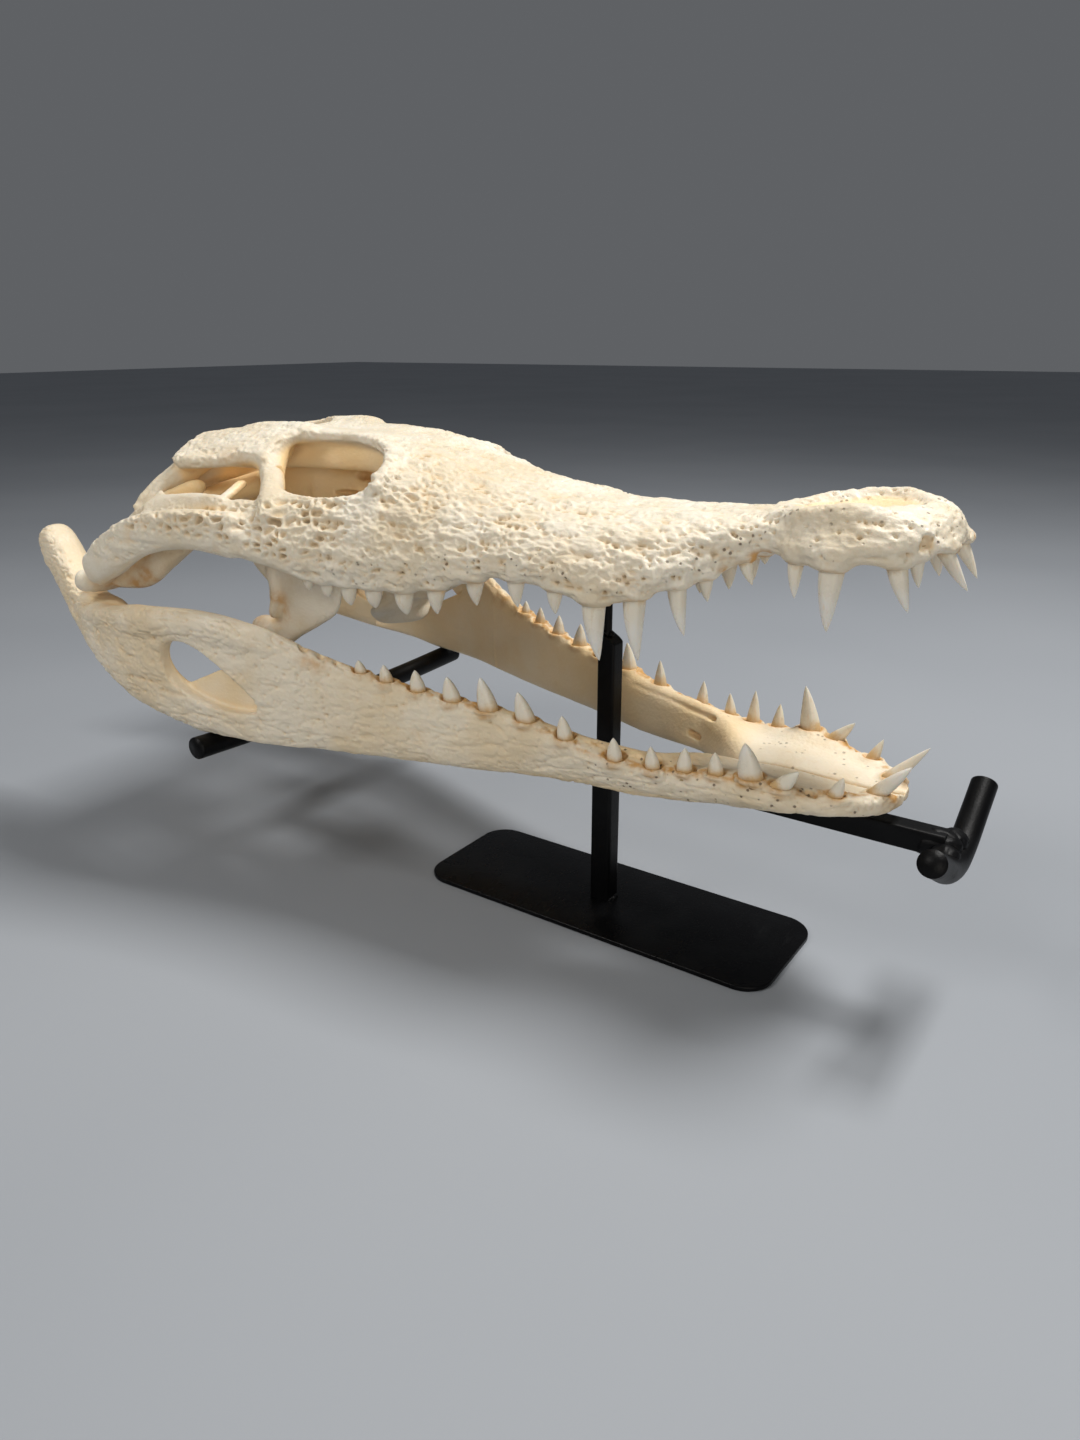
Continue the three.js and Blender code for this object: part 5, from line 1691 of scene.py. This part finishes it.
        for k, (name, centre, size) in enumerate(welds):
            skin = self.weld(centre, size, 60 + k)
            Piece(name, skin.points, [skin.quads, skin.triangles]).add(paint, "steel")


# ---------------------------------------------------------------- studio


@dataclass
class Studio:
    """Pale floor, soft lights and the camera."""

    eye: tuple[float, float, float] = (165.3, -281.0, 193.5)
    yaw: float = -34.93
    pitch: float = 20.66
    roll: float = -0.26
    focal_pixels: float = 1020.2
    image_height: float = 1440.0
    sensor: float = 36.0
    aim: tuple[float, float, float] = (-0.06, 0.0, 0.11)
    floor_half: float = 6.0
    floor_tones: tuple[tuple[float, float, float], ...] = ((0.30, 0.32, 0.35), (0.325, 0.345, 0.375))
    sky: tuple[float, float, float] = (0.115, 0.12, 0.128)
    # name, place in metres, size, power and colour
    lamps: tuple[tuple, ...] = (
        ("key", (0.26, 0.3, 1.0), 0.3, 11.0, (1.0, 0.985, 0.96)),
        ("side", (-0.5, -0.7, 0.9), 0.34, 4.2, (1.0, 0.97, 0.93)),
        ("fill", (0.75, -0.9, 0.4), 0.8, 4.4, (1.0, 0.95, 0.86)),
    )

    def camera(self) -> None:
        """Camera from its place, yaw from +Y, pitch down and roll."""
        yaw, pitch, roll = (math.radians(v) for v in (self.yaw, self.pitch, self.roll))
        ahead = np.array([math.sin(yaw) * math.cos(pitch), math.cos(yaw) * math.cos(pitch), -math.sin(pitch)])
        right = np.array([math.cos(yaw), -math.sin(yaw), 0.0])
        up = np.cross(right, ahead)
        right, up = right * math.cos(roll) + up * math.sin(roll), up * math.cos(roll) - right * math.sin(roll)
        data = bpy.data.cameras.new("camera")
        data.sensor_width = self.sensor
        data.lens = self.sensor * self.focal_pixels / self.image_height
        data.clip_start = 0.01
        camera = bpy.data.objects.new("camera", data)
        turn = Matrix([[right[k], up[k], -ahead[k]] for k in range(3)]).to_4x4()
        camera.matrix_world = Matrix.Translation(np.array(self.eye) * MM) @ turn
        bpy.context.scene.collection.objects.link(camera)
        bpy.context.scene.camera = camera

    def floor(self) -> None:
        """Wide pale floor just under the plate."""
        half = self.floor_half
        mesh = bpy.data.meshes.new("floor")
        mesh.from_pydata([(-half, -half, 0), (half, -half, 0), (half, half, 0), (-half, half, 0)], [],
                         [(0, 1, 2, 3)])
        finish = bpy.data.materials.new("pale floor")
        finish.use_nodes = True
        t = NodeTree(finish.node_tree)
        shader = finish.node_tree.nodes["Principled BSDF"]
        tone = t.ramp(t.noise(t.place(), 3.0, 2.0), 0.3, 0.7)
        t.link(t.mix(tone, *(rgba(c) for c in self.floor_tones)), shader.inputs["Base Color"])
        shader.inputs["Roughness"].default_value = 0.7
        mesh.materials.append(finish)
        thing = bpy.data.objects.new("floor", mesh)
        bpy.context.scene.collection.objects.link(thing)

    def light(self, name: str, place: tuple[float, float, float], size: float, power: float,
              colour: tuple[float, float, float]) -> None:
        """Square soft light aimed at the middle of the skull."""
        data = bpy.data.lights.new(name, "AREA")
        data.size = size
        data.energy = power
        data.color = colour
        lamp = bpy.data.objects.new(name, data)
        away = np.array(place) - np.array(self.aim)
        z = away / np.linalg.norm(away)
        x = np.cross([0.0, 1.0, 0.0], z)
        x /= np.linalg.norm(x)
        y = np.cross(z, x)
        turn = Matrix([[x[k], y[k], z[k]] for k in range(3)]).to_4x4()
        lamp.matrix_world = Matrix.Translation(place) @ turn
        bpy.context.scene.collection.objects.link(lamp)

    def build(self) -> None:
        """Sets up camera, floor, sky and lights."""
        self.camera()
        self.floor()
        for lamp in self.lamps:
            self.light(*lamp)
        bpy.context.scene.view_settings.view_transform = "Standard"
        world = bpy.data.worlds.new("studio")
        world.use_nodes = True
        world.node_tree.nodes["Background"].inputs["Color"].default_value = rgba(self.sky)
        world.node_tree.nodes["Background"].inputs["Strength"].default_value = 1.0
        bpy.context.scene.world = world


def main() -> None:
    """Loads the frame, builds the skull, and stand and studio."""
    logging.basicConfig(level=logging.INFO, format="%(message)s")
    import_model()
    Studio().build()
    Stand().build()
    Mandible().build()
    Cranium().build()


if __name__ == "__main__":
    main()
